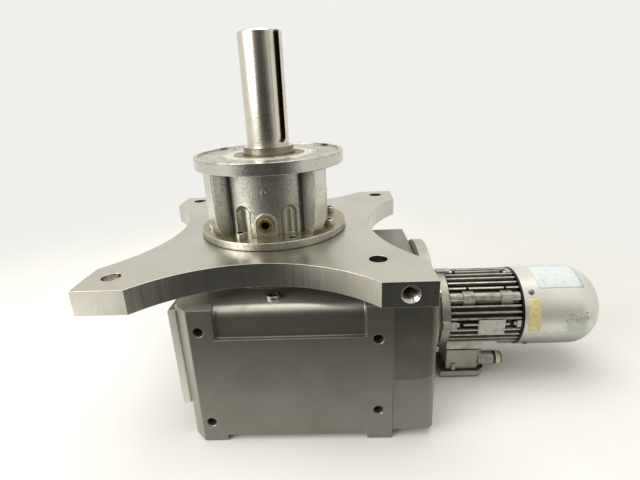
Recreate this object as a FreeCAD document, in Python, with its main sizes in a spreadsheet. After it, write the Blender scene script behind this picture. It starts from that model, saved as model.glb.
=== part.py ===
import FreeCAD, Part
import math
import operator
import os
import Sketcher
from FreeCAD import Placement, Rotation, Vector

# Right-angle helical-bevel brake gear motor with a vertical keyed output shaft, a bearing lantern
# and an X-shaped mounting plate.
# Origin: output shaft axis at the upper flange face. +Z runs out along the output shaft, +X towards
# the motor and -Y towards the machined foot face of the gear housing. Lengths are in millimetres.

doc = FreeCAD.newDocument("gear_motor")
sheet = doc.addObject("Spreadsheet::Sheet", "Sizes")

SIZES = {
    "output shaft": dict(
        shaft_radius=35, shaft_reach=184, shaft_chamfer=2.5, collar_radius=42, collar_height=10,
        seat_radius=40, shaft_bottom=405, keyway_width=20, keyway_depth=7.5, keyway_end=16,
        keyway_angle=-42),
    "bearing lantern": dict(
        flange_radius=125, flange_thick=19, lantern_height=134, foot_thick=13, drum_radius=95,
        lantern_bore=78, register_radius=118.5, register_depth=3, rib_radius=122, rib_width=22,
        rib_undercut=10, rib_undercut_height=22, pocket_radius=13.3, pocket_circle=94, pocket_height=50,
        foot_screw_circle=106, foot_screw_count=8, flange_hole_circle=107.5, flange_hole_radius=5.1,
        flange_hole_depth=30, spigot_radius=80, spigot_height=6, plug_boss_width=34, plug_boss_reach=99,
        plug_height=34, nipple_height=84),
    "shaft seal and cover": dict(
        seal_cover_radius=82, seal_cover_thick=12, seal_radius=60, seal_thick=10, seal_screw_circle=76,
        seal_screw_count=6),
    "mounting plate": dict(
        plate_length=471, plate_width=492, plate_thick=36, pad_width=72, waist_front=172, waist_side=168,
        plate_hole_radius=13, plate_hole_side=200, plate_hole_rear=214, plate_hole_front=204,
        moved_hole_side=167, moved_hole_front=168, edge_hole_radius=10.5, edge_hole_side=200,
        edge_hole_depth=50, plate_screw_circle=96, plate_screw_count=8, plate_screw_sink=13),
    "gear housing": dict(
        axis_drop=304.5, face_hole_level=308, housing_front=200, housing_rear=138, housing_left=130,
        housing_right=250, boss_height=22, boss_radius=135, housing_height=222, foot_height=10,
        foot_left=109, foot_right=186, left_rail=37, right_rail=39, front_chamfer=21, wall=12,
        front_wall=16, recess_depth=7, recess_drop=49, recess_round=18, setback=2.5, corner_round=12,
        left_pad_thick=12, left_pad_front=183, left_pad_rear=40, left_pad_top=200, left_pad_bottom=364,
        face_hole_radius=7, face_hole_depth=30, face_boss_radius=15, left_hole_side=95,
        left_hole_spacing=161, right_hole_side=164.5, right_hole_spacing=125, mouth_depth=14,
        mouth_radius=64, mouth_shift=45, right_rise=4, end_wall=26, rear_opening_low=375,
        rear_opening_high=241, rear_opening_left=40, rear_opening_right=200, rear_cover_thick=8,
        rear_cover_rim=16, vent_side=13, vent_front=164),
    "bearings": dict(
        fit_gap=0.05, ring_gap=0.6, upper_bearing_outer=70, upper_bearing_width=26,
        lower_bearing_outer=62.5, lower_bearing_width=24, middle_bearing_top=174, lower_bearing_top=382,
        cap_thick=7, layshaft_seat=17.5, layshaft_bearing_outer=40, layshaft_bearing_width=21,
        layshaft_upper_top=205, pinion_seat=17.5, pinion_bearing_outer=36, pinion_bearing_width=17,
        pinion_inner_bearing=180, pinion_outer_bearing=214, rotor_seat=12.5, rotor_bearing_outer=26,
        rotor_bearing_width=15, boss_wall=12),
    "gear train": dict(
        final_distance=120, final_angle=30, final_module=4, final_wheel_teeth=45, final_pinion_teeth=15,
        final_width=50, final_top=234, pinion_overhang=2, bevel_module=3, bevel_wheel_teeth=39,
        bevel_pinion_teeth=13, bevel_width=19, bevel_hub_radius=34, bevel_hub_end=44, layshaft_radius=22,
        input_module=2, input_wheel_teeth=45, input_pinion_teeth=15, input_width=16, input_start=239,
        backlash=0.4, addendum=0.8, dedendum=1.1, key_width=20, key_height=12),
    "motor": dict(
        input_flange_radius=120, input_flange_thick=18, input_flange_rise=10.5, input_recess=8,
        pilot_radius=40, pilot_depth=8, flange_screw_circle=108, shield_flange_radius=86,
        shield_flange_thick=12, shield_screw_circle=79, shield_rim=15, shield_length=36.5,
        front_bearing_inset=4, frame_length=123, frame_radius=61, frame_wall=3.5, fin_height=10,
        fin_thick=3, fin_count=40, lug_width=20, rail_height=3.5, lug_height=7, lug_inset=22.5,
        lug_pitch=65.5, lug_angle=49, tie_lug_width=13, tie_lug_length=9.5, tie_lug_reach=5,
        seat_drop=0.5, seat_half=52, seat_length=90.5, neck_height=9, core_inset=19, rotor_radius=37,
        air_gap=0.5, rotor_shaft_radius=15, pinion_shaft_radius=8, tail_radius=10, rear_shield_thick=3.5,
        rear_bearing_inset=3.5, web_rise=10),
    "brake and fan": dict(
        cover_step=1, cover_wall=2, cover_length=146.5, cover_round=52, cover_seat=20,
        cover_screw_inset=14, cover_slot_count=12, cover_slot_width=5, cover_slot_start=16,
        cover_slot_end=44, friction_wall=6, hub_radius=14, hub_length=16, hub_lead=4, disc_radius=44,
        disc_thick=8, armature_radius=56, armature_thick=6, brake_stroke=0.4, magnet_length=30,
        brake_bolt_circle=50, brake_bolt_radius=3, brake_clearance=0.1, spring_circle=35, spring_count=6,
        spring_radius=4, spring_depth=20, fan_clearance=8, fan_gap=11, fan_width=22, fan_blades=8,
        fan_blade_thick=3),
    "terminal box": dict(
        box_length=67, box_half=52, box_chamfer=12, box_height=40, box_roof=12, box_wall=3.5, lid_lead=11,
        lid_lap=4, lid_lip=5, lid_thick=10, gasket_thick=2, lid_screw_side=52, lid_screw_near=13,
        lid_screw_far=45, outlet_radius=13, outlet_bore=8, outlet_side=38, outlet_rise=14.5,
        outlet_reach=20.5, ring_thick=5, blanking_reach=12.5, block_inset=31, block_length=30,
        block_width=30, block_height=12, wire_hole=8, wire_inset=13, plate_inset=47.5,
        nameplate_length=45, nameplate_width=30, nameplate_thick=1, nameplate_angle=-3.5),
}


class Size:
    """A sheet value, or a sum or product of such values, with the expression that gives it."""

    def __init__(self, value, text):
        self.value = value
        self.text = text

    def __add__(self, other):
        return combine(operator.add, "+", self, other)

    def __radd__(self, other):
        return combine(operator.add, "+", other, self)

    def __sub__(self, other):
        return combine(operator.sub, "-", self, other)

    def __rsub__(self, other):
        return combine(operator.sub, "-", other, self)

    def __mul__(self, other):
        return combine(operator.mul, "*", self, other)

    def __rmul__(self, other):
        return combine(operator.mul, "*", other, self)

    def __truediv__(self, other):
        return combine(operator.truediv, "/", self, other)

    def __neg__(self):
        return Size(-self.value, "(-%s)" % self.text)


def as_size(number):
    return number if isinstance(number, Size) else Size(float(number), "%g" % number)


def combine(action, sign, left, right):
    left, right = as_size(left), as_size(right)
    return Size(action(left.value, right.value), "(%s %s %s)" % (left.text, sign, right.text))


def cosine(angle):
    angle = as_size(angle)
    return Size(math.cos(math.radians(angle.value)), "cos(%s)" % angle.text)


def sine(angle):
    angle = as_size(angle)
    return Size(math.sin(math.radians(angle.value)), "sin(%s)" % angle.text)


class Sheet:
    """The sheet's cells by alias, each as a Size."""


S = Sheet()
row = 0
for group, values in SIZES.items():
    row += 1
    sheet.set("A%d" % row, group)
    for alias, number in values.items():
        row += 1
        sheet.set("A%d" % row, alias.replace("_", " "))
        sheet.set("B%d" % row, "%g" % number)
        sheet.setAlias("B%d" % row, alias)
        setattr(S, alias, Size(float(number), "Sizes." + alias))
doc.recompute()

TURN = {
    "Z": Rotation(),
    "X": Rotation(Vector(0, 1, 0), 90),
    "-X": Rotation(Vector(0, 1, 0), -90),
    "-Z": Rotation(Vector(1, 0, 0), 180),
    "Y": Rotation(Vector(1, 0, 0), -90),
    "-Y": Rotation(Vector(1, 0, 0), 90),
}
ON_AXIS = (0, 0, 0)
pieces = {}


def bind(item, path, size):
    item.setExpression(path, as_size(size).text)


def seat(item, at, along="Z"):
    """Turns an item's own Z to a main direction and ties its place to the sheet."""
    item.Placement = Placement(Vector(), TURN[along])
    for letter, size in zip("xyz", at):
        bind(item, ".Placement.Base." + letter, size)
    return item


def new(kind, name):
    return doc.addObject(kind, name)


def box(name, low, span):
    item = new("Part::Box", name)
    for side, size in zip(("Length", "Width", "Height"), span):
        bind(item, side, size)
    return seat(item, low)


def between(name, low, high):
    """A block from its lowest corner to its highest."""
    return box(name, low, [top - bottom for bottom, top in zip(map(as_size, low), map(as_size, high))])


def cylinder(name, radius, length, at=ON_AXIS, along="Z"):
    item = new("Part::Cylinder", name)
    bind(item, "Radius", radius)
    bind(item, "Height", length)
    return seat(item, at, along)


def fused(name, *parts):
    item = new("Part::MultiFuse", name)
    item.Shapes = list(parts)
    return item


def cut(name, base, *tools):
    item = new("Part::Cut", name)
    item.Base = base
    item.Tool = tools[0] if len(tools) == 1 else fused(name + "_tools", *tools)
    return item


def group(name, *parts):
    """Like loose pieces that share one node."""
    item = new("Part::Compound", name)
    item.Links = list(parts)
    return item


def turned_about_z(item, angle):
    """Swings an item round the Z axis through the origin."""
    item.Placement = Placement(item.Placement.Base, Rotation(Vector(0, 0, 1), 1))
    bind(item, ".Placement.Rotation.Angle", angle)
    return item


def body_sketch(body, name, plane, points):
    """A closed straight-sided outline in one of the body's own planes, every corner tied to the sheet."""
    sketch = body.newObject("Sketcher::SketchObject", name)
    support = [plane_of for plane_of in body.Origin.OriginFeatures if plane_of.Role == plane][0]
    sketch.AttachmentSupport = [(support, "")]
    sketch.MapMode = "FlatFace"
    corners = [tuple(map(as_size, point)) for point in points]
    ends = [Vector(x.value, y.value, 0) for x, y in corners]
    for number, end in enumerate(ends):
        sketch.addGeometry(Part.LineSegment(end, ends[(number + 1) % len(ends)]), False)
    for number in range(len(ends)):
        sketch.addConstraint(Sketcher.Constraint("Coincident", number, 2, (number + 1) % len(ends), 1))
    for number, corner in enumerate(corners):
        for kind, axis, size in zip(("DistanceX", "DistanceY"), (-2, -1), corner):
            if size.text == "0":
                sketch.addConstraint(Sketcher.Constraint("PointOnObject", number, 1, axis))
            else:
                tie = sketch.addConstraint(Sketcher.Constraint(kind, -1, 1, number, 1, size.value))
                bind(sketch, "Constraints[%d]" % tie, size)
    return sketch


def turned(name, section, at=ON_AXIS, along="Z"):
    """A turned piece: its half section, as (radius, distance along the axis), spun about the axis."""
    body = new("PartDesign::Body", name)
    sketch = body_sketch(body, name + "_section", "XZ_Plane", section)
    spin = body.newObject("PartDesign::Revolution", name + "_spin")
    spin.Profile = sketch
    spin.ReferenceAxis = (sketch, ["V_Axis"])
    spin.Angle = 360
    return seat(body, at, along)


def ring(name, inner, outer, length, at=ON_AXIS, along="Z"):
    return turned(name, [(inner, 0), (outer, 0), (outer, length), (inner, length)], at, along)


def padded(name, outline, low, height):
    """A plate or block: its outline in plan, pushed up from a level."""
    body = new("PartDesign::Body", name)
    sketch = body_sketch(body, name + "_outline", "XY_Plane", outline)
    pad = body.newObject("PartDesign::Pad", name + "_pad")
    pad.Profile = sketch
    bind(pad, "Length", height)
    return seat(body, (0, 0, low))


def round_places(circle, count, first=0):
    """Evenly spaced places on a circle, as (x, y, angle)."""
    step = 360.0 / int(as_size(count).value)
    angles = [first + step * number for number in range(int(as_size(count).value))]
    return [(circle * cosine(angle), circle * sine(angle), angle) for angle in angles]


def socket_screw(name, thread, length, at, along="Z", head=None, height=None):
    """A screw or plug with a hexagon socket. Its head stands on the seat at its origin."""
    head = head or thread * 1.6
    height = height or thread * 2
    body = turned(name + "_turned", [(0, -length), (thread, -length), (thread, 0), (head, 0),
                                     (head, height * 0.9), (head - height * 0.1, height), (0, height)])
    socket = new("Part::Prism", name + "_socket")
    socket.Polygon = 6
    bind(socket, "Circumradius", thread * 0.92)
    bind(socket, "Height", height)
    seat(socket, (0, 0, height / 2))
    return seat(cut(name, body, socket), at, along)


def countersunk(name, thread, length, margin, at):
    """A countersunk screw flush with the face at its origin, or, with a margin, the hole that it fills."""
    wide = thread + margin
    return turned(name, [(0, -length), (wide, -length), (wide, -thread), (wide + thread, 0), (0, 0)], at)


def bearing(name, bore, outer, width, at, along="Z"):
    """A sealed ball bearing as its two rings. The shields belong to the outer ring and close the annulus."""
    middle = (bore + outer) / 2
    outside = ring(name + "_outer", middle + S.ring_gap / 2, outer, width, at, along)
    inside = ring(name + "_inner", bore + S.fit_gap, middle - S.ring_gap / 2, width, at, along)
    return outside, inside


def solid_piece(name, shape, at=ON_AXIS, along="Z"):
    """A piece whose shape is worked out by formula, such as a toothed one."""
    item = new("Part::Feature", name)
    item.Shape = shape
    return seat(item, at, along)


def involute(angle):
    return math.tan(angle) - angle


def half_tooth(teeth, module, height, backlash):
    """Half the angle that a tooth fills at a height over the pitch circle, for 20 degree involute flanks."""
    pressure = math.radians(20)
    pitch = module * teeth / 2
    base = pitch * math.cos(pressure)
    radius = max(pitch + height, base)
    at_pitch = math.pi / (2 * teeth) - backlash / (4 * pitch)
    return at_pitch + involute(pressure) - involute(math.acos(base / radius))


def flank_heights(module):
    """Heights of the flank's facets over the pitch circle, from the tooth's foot to its tip."""
    low, high = -S.dedendum.value * module, S.addendum.value * module
    return [low + (high - low) * share for share in (0, 0.3, 0.55, 0.8, 1)]


def tooth_angles(teeth, equivalent, module, start):
    """Walks round a gear and gives (angle, height) along each tooth's left and right flanks."""
    heights = flank_heights(module)
    for tooth in range(teeth):
        middle = start + 2 * math.pi * tooth / teeth
        for side, order in ((-1, heights), (1, heights[::-1])):
            for height in order:
                half = half_tooth(equivalent, module, height, S.backlash.value) * equivalent / teeth
                yield middle + side * half, height


def spur_gear(teeth, module, bore, width, start):
    """A spur gear blank with faceted involute teeth and a plain bore, standing on its lower face."""
    pitch = module * teeth / 2
    rim = [Vector((pitch + height) * math.cos(angle), (pitch + height) * math.sin(angle), 0)
           for angle, height in tooth_angles(teeth, teeth, module, start)]
    blank = Part.Face(Part.makePolygon(rim + rim[:1])).extrude(Vector(0, 0, width))
    return blank.cut(Part.makeCylinder(bore, width)).Solids[0] if bore else blank


def bevel_gear(teeth, mate, module, width, section, start):
    """A straight bevel gear with its pitch apex at the origin, opening along +Z.

    The flanks are planes through the apex. The blank is the turned section, and what lies inside both
    the blank and the toothed pyramid is the gear."""
    cone = math.atan2(teeth, mate)
    pitch = module * teeth / 2
    back = pitch / math.tan(cone)
    far = 4 * back
    rim = []
    for angle, height in tooth_angles(teeth, teeth / math.cos(cone), module, start):
        radius = (pitch + height * math.cos(cone)) / (back - height * math.sin(cone))
        rim.append(Vector(radius * math.cos(angle), radius * math.sin(angle), 1))
    near = 0.25 * back
    lower = [point * near for point in rim]
    upper = [point * far for point in rim]
    faces = [Part.Face(Part.makePolygon(lower + lower[:1])), Part.Face(Part.makePolygon(upper + upper[:1]))]
    for number in range(len(rim)):
        after = (number + 1) % len(rim)
        loop = [lower[number], lower[after], upper[after], upper[number], lower[number]]
        faces.append(Part.Face(Part.makePolygon(loop)))
    pyramid = Part.Solid(Part.Shell(faces))
    corners = [Vector(radius, 0, along) for radius, along in section]
    half = Part.Face(Part.makePolygon(corners + corners[:1]))
    blank = half.revolve(Vector(), Vector(0, 0, 1), 360)
    return blank.common(pyramid).Solids[0]


# Levels down the output axis and places along the motor axis
plate_top = -S.lantern_height
plate_under = plate_top - S.plate_thick
housing_top = plate_under - S.boss_height
housing_low = housing_top - S.housing_height
cavity_top = housing_top - S.wall
cavity_low = housing_low + S.wall
axis_z = -S.axis_drop
lay_x = S.final_distance * cosine(S.final_angle)
lay_y = -S.final_distance * sine(S.final_angle)
shield_start = S.housing_right + S.input_flange_thick
frame_start = shield_start + S.shield_length
frame_end = frame_start + S.frame_length
cover_start = frame_end + S.rear_shield_thick
rotor_front_bearing = shield_start + S.front_bearing_inset
rotor_rear_bearing = frame_end + S.rear_bearing_inset
motor_axis = (0, 0, axis_z)
seal_top = -S.register_depth
bearing_top = seal_top - S.seal_cover_thick
m5, m8, m10, m12 = as_size(2.5), as_size(4), as_size(5), as_size(6)


def along_motor(distance, y=0, z=0):
    """A place on the motor axis, or beside it."""
    return (distance, as_size(y), axis_z + z)


# Output shaft with its open keyway. The turned section lies in the keyway's own plane.
shaft_blank = turned("output_shaft_blank", [
    (0, -S.shaft_bottom), (S.shaft_radius, -S.shaft_bottom), (S.shaft_radius, -S.lower_bearing_top),
    (S.seat_radius, -S.lower_bearing_top), (S.seat_radius, bearing_top), (S.collar_radius, bearing_top),
    (S.collar_radius, S.collar_height), (S.shaft_radius, S.collar_height),
    (S.shaft_radius, S.shaft_reach - S.shaft_chamfer), (S.shaft_radius - S.shaft_chamfer, S.shaft_reach),
    (0, S.shaft_reach)])
turned_about_z(shaft_blank, S.keyway_angle)
keyway_floor = S.shaft_radius - S.keyway_depth
keyway_centre = S.keyway_end + S.keyway_width / 2
keyway_slot = box("keyway_slot", (keyway_floor, -S.keyway_width / 2, keyway_centre),
                  (S.shaft_radius, S.keyway_width, S.shaft_reach))
keyway_foot = cylinder("keyway_foot", S.keyway_width / 2, S.shaft_radius,
                       (keyway_floor, 0, keyway_centre), "X")
keyway = turned_about_z(fused("keyway", keyway_slot, keyway_foot), S.keyway_angle)
wheel_low = -S.final_top - S.final_width
key_low = S.seat_radius - S.key_height / 2


def wheel_key(name, margin):
    """The parallel key under the output wheel, or the slot that it lies in."""
    return between(name, (key_low - margin, -S.key_width / 2 - margin, wheel_low),
                   (key_low + S.key_height + margin, S.key_width / 2 + margin, -S.final_top))


pieces["output_shaft"] = cut("output_shaft", shaft_blank, keyway, wheel_key("shaft_key_slot", S.fit_gap))
pieces["output_wheel_key"] = wheel_key("output_wheel_key", as_size(0))

# Final gear pair: the wheel on the output shaft and the pinion cut on the intermediate shaft
final_line = math.radians(-S.final_angle.value)
wheel_ring = solid_piece("output_wheel_teeth", spur_gear(
    int(S.final_wheel_teeth.value), S.final_module.value, S.seat_radius.value + S.fit_gap.value,
    S.final_width.value, final_line), (0, 0, wheel_low))
pieces["output_wheel"] = cut("output_wheel", wheel_ring, wheel_key("wheel_key_slot", S.fit_gap))
spacer_radius = S.seat_radius + 8
spacer_high = ring("upper_spacer", S.seat_radius + S.fit_gap, spacer_radius,
                   S.final_top - S.middle_bearing_top - S.upper_bearing_width, (0, 0, -S.final_top))
spacer_low = ring("lower_spacer", S.seat_radius + S.fit_gap, spacer_radius,
                  S.lower_bearing_top + wheel_low, (0, 0, -S.lower_bearing_top))
pieces["output_spacers"] = group("output_spacers", spacer_high, spacer_low)

pinion_teeth = int(S.final_pinion_teeth.value)
pinion_width = S.final_width + 2 * S.pinion_overhang
pinion_low = wheel_low - S.pinion_overhang
lay_shaft_low = -S.lower_bearing_top - S.layshaft_bearing_width
lay_pinion = solid_piece("intermediate_pinion", spur_gear(
    pinion_teeth, S.final_module.value, 0, pinion_width.value,
    final_line + math.pi + math.pi / pinion_teeth), (lay_x, lay_y, pinion_low))
lay_core = turned("intermediate_core", [
    (0, lay_shaft_low), (S.layshaft_seat, lay_shaft_low), (S.layshaft_seat, -S.lower_bearing_top),
    (S.layshaft_radius, -S.lower_bearing_top), (S.layshaft_radius, pinion_low),
    (S.layshaft_seat, pinion_low), (S.layshaft_seat, -S.layshaft_upper_top), (0, -S.layshaft_upper_top)],
    (lay_x, lay_y, 0))
pieces["intermediate_shaft"] = fused("intermediate_shaft", lay_core, lay_pinion)

# Bevel pair: the wheel faces up to the pitch apex on the motor level, the pinion points at it from +X
wheel_teeth = int(S.bevel_wheel_teeth.value)
bevel_teeth = int(S.bevel_pinion_teeth.value)
wheel_pitch = S.bevel_module.value * wheel_teeth / 2
pinion_pitch = S.bevel_module.value * bevel_teeth / 2
cone_length = math.hypot(wheel_pitch, pinion_pitch)
toe = 1 - S.bevel_width.value / cone_length


def bevel_rim(pitch, back, reach):
    """Heel corner of a bevel blank, reach above or below the pitch cone and square to it."""
    return pitch + reach * back / cone_length, back - reach * pitch / cone_length


tip_reach = 1.5 * S.bevel_module.value
foot_reach = -2.4 * S.bevel_module.value
wheel_tip = bevel_rim(wheel_pitch, pinion_pitch, tip_reach)
wheel_foot = bevel_rim(wheel_pitch, pinion_pitch, foot_reach)
bevel_bore = S.layshaft_radius.value + S.fit_gap.value
wheel_section = [
    (bevel_bore, wheel_foot[1] * toe), (wheel_foot[0] * toe, wheel_foot[1] * toe),
    (wheel_tip[0] * toe, wheel_tip[1] * toe), wheel_tip, wheel_foot,
    (S.bevel_hub_radius.value, wheel_foot[1] + S.bevel_module.value),
    (S.bevel_hub_radius.value, S.bevel_hub_end.value), (bevel_bore, S.bevel_hub_end.value)]
pieces["bevel_wheel"] = solid_piece("bevel_wheel", bevel_gear(
    wheel_teeth, bevel_teeth, S.bevel_module.value, S.bevel_width.value, wheel_section, 0),
    (lay_x, lay_y, axis_z), "-Z")

pinion_tip = bevel_rim(pinion_pitch, wheel_pitch, tip_reach)
pinion_foot = bevel_rim(pinion_pitch, wheel_pitch, foot_reach)
input_end = S.input_start + S.input_width
stub_radius = S.pinion_seat - 3
neck_start = wheel_pitch + 2
bevel_section = [
    (0, pinion_foot[1] * toe), (pinion_foot[0] * toe, pinion_foot[1] * toe),
    (pinion_tip[0] * toe, pinion_tip[1] * toe), pinion_tip, (pinion_foot[0], neck_start),
    (pinion_foot[0], (S.pinion_inner_bearing - lay_x).value - 4),
    (S.pinion_seat.value + 4, (S.pinion_inner_bearing - lay_x).value - 4),
    (S.pinion_seat.value + 4, (S.pinion_inner_bearing - lay_x).value),
    (S.pinion_seat.value, (S.pinion_inner_bearing - lay_x).value),
    (S.pinion_seat.value, (S.input_start - lay_x).value), (stub_radius.value, (S.input_start - lay_x).value),
    (stub_radius.value, (input_end - lay_x).value), (0, (input_end - lay_x).value)]
pieces["bevel_pinion_shaft"] = solid_piece("bevel_pinion_shaft", bevel_gear(
    bevel_teeth, wheel_teeth, S.bevel_module.value, S.bevel_width.value, bevel_section,
    math.pi / bevel_teeth), (lay_x, lay_y, axis_z), "X")

# Input pair: the wheel on the bevel pinion shaft and the pinion on the rotor shaft
input_teeth = int(S.input_pinion_teeth.value)
pieces["input_wheel"] = solid_piece("input_wheel", spur_gear(
    int(S.input_wheel_teeth.value), S.input_module.value, stub_radius.value + S.fit_gap.value,
    S.input_width.value, math.pi / 2), (S.input_start, lay_y, axis_z), "X")
pieces["motor_pinion"] = solid_piece("motor_pinion", spur_gear(
    input_teeth, S.input_module.value, S.pinion_shaft_radius.value + S.fit_gap.value,
    S.input_width.value + 2, -math.pi / 2 + math.pi / input_teeth), along_motor(S.input_start - 1), "X")

# Bearings of the four shafts
upper_rings = bearing("upper_bearing", S.seat_radius, S.upper_bearing_outer, S.upper_bearing_width,
                      (0, 0, bearing_top - S.upper_bearing_width))
middle_rings = bearing("middle_bearing", S.seat_radius, S.upper_bearing_outer, S.upper_bearing_width,
                       (0, 0, -S.middle_bearing_top - S.upper_bearing_width))
lower_rings = bearing("lower_bearing", S.shaft_radius, S.lower_bearing_outer, S.lower_bearing_width,
                      (0, 0, -S.lower_bearing_top - S.lower_bearing_width))
lay_upper_rings = bearing("intermediate_upper_bearing", S.layshaft_seat, S.layshaft_bearing_outer,
                          S.layshaft_bearing_width,
                          (lay_x, lay_y, -S.layshaft_upper_top - S.layshaft_bearing_width))
lay_lower_rings = bearing("intermediate_lower_bearing", S.layshaft_seat, S.layshaft_bearing_outer,
                          S.layshaft_bearing_width, (lay_x, lay_y, lay_shaft_low))
pinion_rings = [bearing("pinion_bearing_%d" % number, S.pinion_seat, S.pinion_bearing_outer,
                        S.pinion_bearing_width, (place, lay_y, axis_z), "X")
                for number, place in enumerate((S.pinion_inner_bearing, S.pinion_outer_bearing))]
rotor_rings = [bearing("rotor_bearing_%d" % number, S.rotor_seat, S.rotor_bearing_outer,
                       S.rotor_bearing_width, along_motor(place), "X")
               for number, place in enumerate((rotor_front_bearing, rotor_rear_bearing))]
for shaft, rings in (("output", (upper_rings, middle_rings, lower_rings)),
                     ("intermediate", (lay_upper_rings, lay_lower_rings)),
                     ("pinion", pinion_rings), ("rotor", rotor_rings)):
    for side, name in enumerate(("outer", "inner")):
        node = "%s_bearing_%s_rings" % (shaft, name)
        pieces[node] = group(node, *[pair[side] for pair in rings])

# Bearing lantern: two flanges, a drum and four ribs, cast in one
bearing_low = bearing_top - S.upper_bearing_width
web_low = bearing_low - 8
lantern_turned = turned("lantern_turned", [
    (S.seal_cover_radius, seal_top), (S.register_radius, seal_top), (S.register_radius, 0),
    (S.flange_radius, 0), (S.flange_radius, -S.flange_thick), (S.drum_radius, -S.flange_thick),
    (S.drum_radius, plate_top + S.foot_thick), (S.flange_radius, plate_top + S.foot_thick),
    (S.flange_radius, plate_top), (S.spigot_radius - S.fit_gap, plate_top),
    (S.spigot_radius - S.fit_gap, plate_top - S.spigot_height),
    (S.lantern_bore - 6, plate_top - S.spigot_height),
    (S.lantern_bore - 6, web_low), (S.seal_radius, web_low), (S.seal_radius, bearing_low),
    (S.upper_bearing_outer + S.fit_gap, bearing_low), (S.upper_bearing_outer + S.fit_gap, bearing_top),
    (S.seal_cover_radius, bearing_top)])
rib_top = -S.flange_thick
foot_top = plate_top + S.foot_thick
ribs = []
for number in range(4):
    rib = new("PartDesign::Body", "rib_%d" % number)
    rib_sketch = body_sketch(rib, "rib_side_%d" % number, "XZ_Plane", [
        (S.drum_radius - 4, foot_top), (S.rib_radius - S.rib_undercut, foot_top),
        (S.rib_radius, foot_top + S.rib_undercut_height), (S.rib_radius, rib_top),
        (S.drum_radius - 4, rib_top)])
    rib_pad = rib.newObject("PartDesign::Pad", "rib_pad_%d" % number)
    rib_pad.Profile = rib_sketch
    rib_pad.Midplane = True
    bind(rib_pad, "Length", S.rib_width)
    ribs.append(turned_about_z(rib, as_size(45 + 90 * number)))
plug_level = plate_top + S.plug_height
plug_boss = fused(
    "plug_boss",
    cylinder("plug_boss_round", S.plug_boss_width / 2, 30, (0, 30 - S.plug_boss_reach, plug_level), "-Y"),
    box("plug_boss_foot", (-S.plug_boss_width / 2, -S.plug_boss_reach, plate_top + S.foot_thick),
        (S.plug_boss_width, 30, S.plug_height - S.foot_thick)))
lantern_cast = fused("lantern_cast", lantern_turned, plug_boss, *ribs)
pockets = []
pocket_straight = S.pocket_height - S.pocket_radius
for number, (x, y, angle) in enumerate(round_places(S.pocket_circle, S.foot_screw_count, 22.5)):
    pockets.append(cylinder("pocket_%d" % number, S.pocket_radius, pocket_straight,
                            (x, y, plate_top + S.foot_thick)))
    dome = new("Part::Sphere", "pocket_dome_%d" % number)
    bind(dome, "Radius", S.pocket_radius)
    pockets.append(seat(dome, (x, y, plate_top + S.foot_thick + pocket_straight)))
foot_places = round_places(S.foot_screw_circle, S.foot_screw_count, 22.5)
foot_holes = [cylinder("foot_hole_%d" % number, m10 + 0.5, S.foot_thick, (x, y, plate_top))
              for number, (x, y, angle) in enumerate(foot_places)]
flange_holes = [cylinder("flange_hole_%d" % number, S.flange_hole_radius, S.flange_hole_depth,
                         (x, y, -S.flange_hole_depth))
                for number, (x, y, angle) in enumerate(round_places(S.flange_hole_circle, 4, 45))]
plug_thread = as_size(8)
plug_hole = cylinder("plug_hole", plug_thread + S.fit_gap, 40, (0, -S.lantern_bore + 18, plug_level), "-Y")
nipple_level = plate_top + S.nipple_height
nipple_hole = cylinder("nipple_hole", 3 + S.fit_gap, 12, (0, 10 - S.drum_radius, nipple_level), "-Y")
seal_places = round_places(S.seal_screw_circle, S.seal_screw_count)
seal_holes = [cylinder("seal_hole_%d" % number, m5 + S.fit_gap, 8, (x, y, bearing_top - 8))
              for number, (x, y, angle) in enumerate(seal_places)]
pieces["bearing_lantern"] = cut("bearing_lantern", lantern_cast, *pockets, *foot_holes, *flange_holes,
                                plug_hole, nipple_hole, *seal_holes)

# Screws in the lantern's foot (one place is empty), brass socket plug and round-headed nipple
empty_place = 6
thread_depth = as_size(20)
pieces["lantern_screws"] = group("lantern_screws", *[
    socket_screw("lantern_screw_%d" % number, m10, S.foot_thick + thread_depth, (x, y, foot_top))
    for number, (x, y, angle) in enumerate(foot_places) if number != empty_place])
pieces["oil_plug"] = socket_screw("oil_plug", plug_thread, 20, (0, -S.plug_boss_reach, plug_level), "-Y",
                                  as_size(11.5), as_size(6))
pieces["grease_nipple"] = turned("grease_nipple", [
    (0, -8), (3, -8), (3, 0), (4.8, 0), (4.5, 2), (3, 3.5), (0, 4)], (0, -S.drum_radius, nipple_level), "-Y")

# Seal cover, its countersunk screws and the shaft seal
cover_ring = ring("seal_cover_ring", S.seal_radius, S.seal_cover_radius - S.fit_gap, S.seal_cover_thick,
                  (0, 0, bearing_top))
pieces["seal_cover"] = cut("seal_cover", cover_ring, *[
    countersunk("cover_hole_%d" % number, m5, S.seal_cover_thick, S.fit_gap, (x, y, seal_top))
    for number, (x, y, angle) in enumerate(seal_places)])
pieces["seal_cover_screws"] = group("seal_cover_screws", *[
    countersunk("seal_cover_screw_%d" % number, m5, S.seal_cover_thick + 7, as_size(0), (x, y, seal_top))
    for number, (x, y, angle) in enumerate(seal_places)])
pieces["shaft_seal"] = turned("shaft_seal", [
    (S.collar_radius + 0.3, -2), (S.collar_radius + 3, 0), (S.seal_radius - S.fit_gap, 0),
    (S.seal_radius - S.fit_gap, -S.seal_thick), (S.collar_radius + 4, -S.seal_thick),
    (S.collar_radius + 4, -5), (S.collar_radius + 0.3, -4)], (0, 0, seal_top))

# Mounting plate: an X with square pads, its waists cut by four wide arcs
plate_block = box("plate_block", (-S.plate_length / 2, -S.plate_width / 2, plate_under),
                  (S.plate_length, S.plate_width, S.plate_thick))


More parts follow.
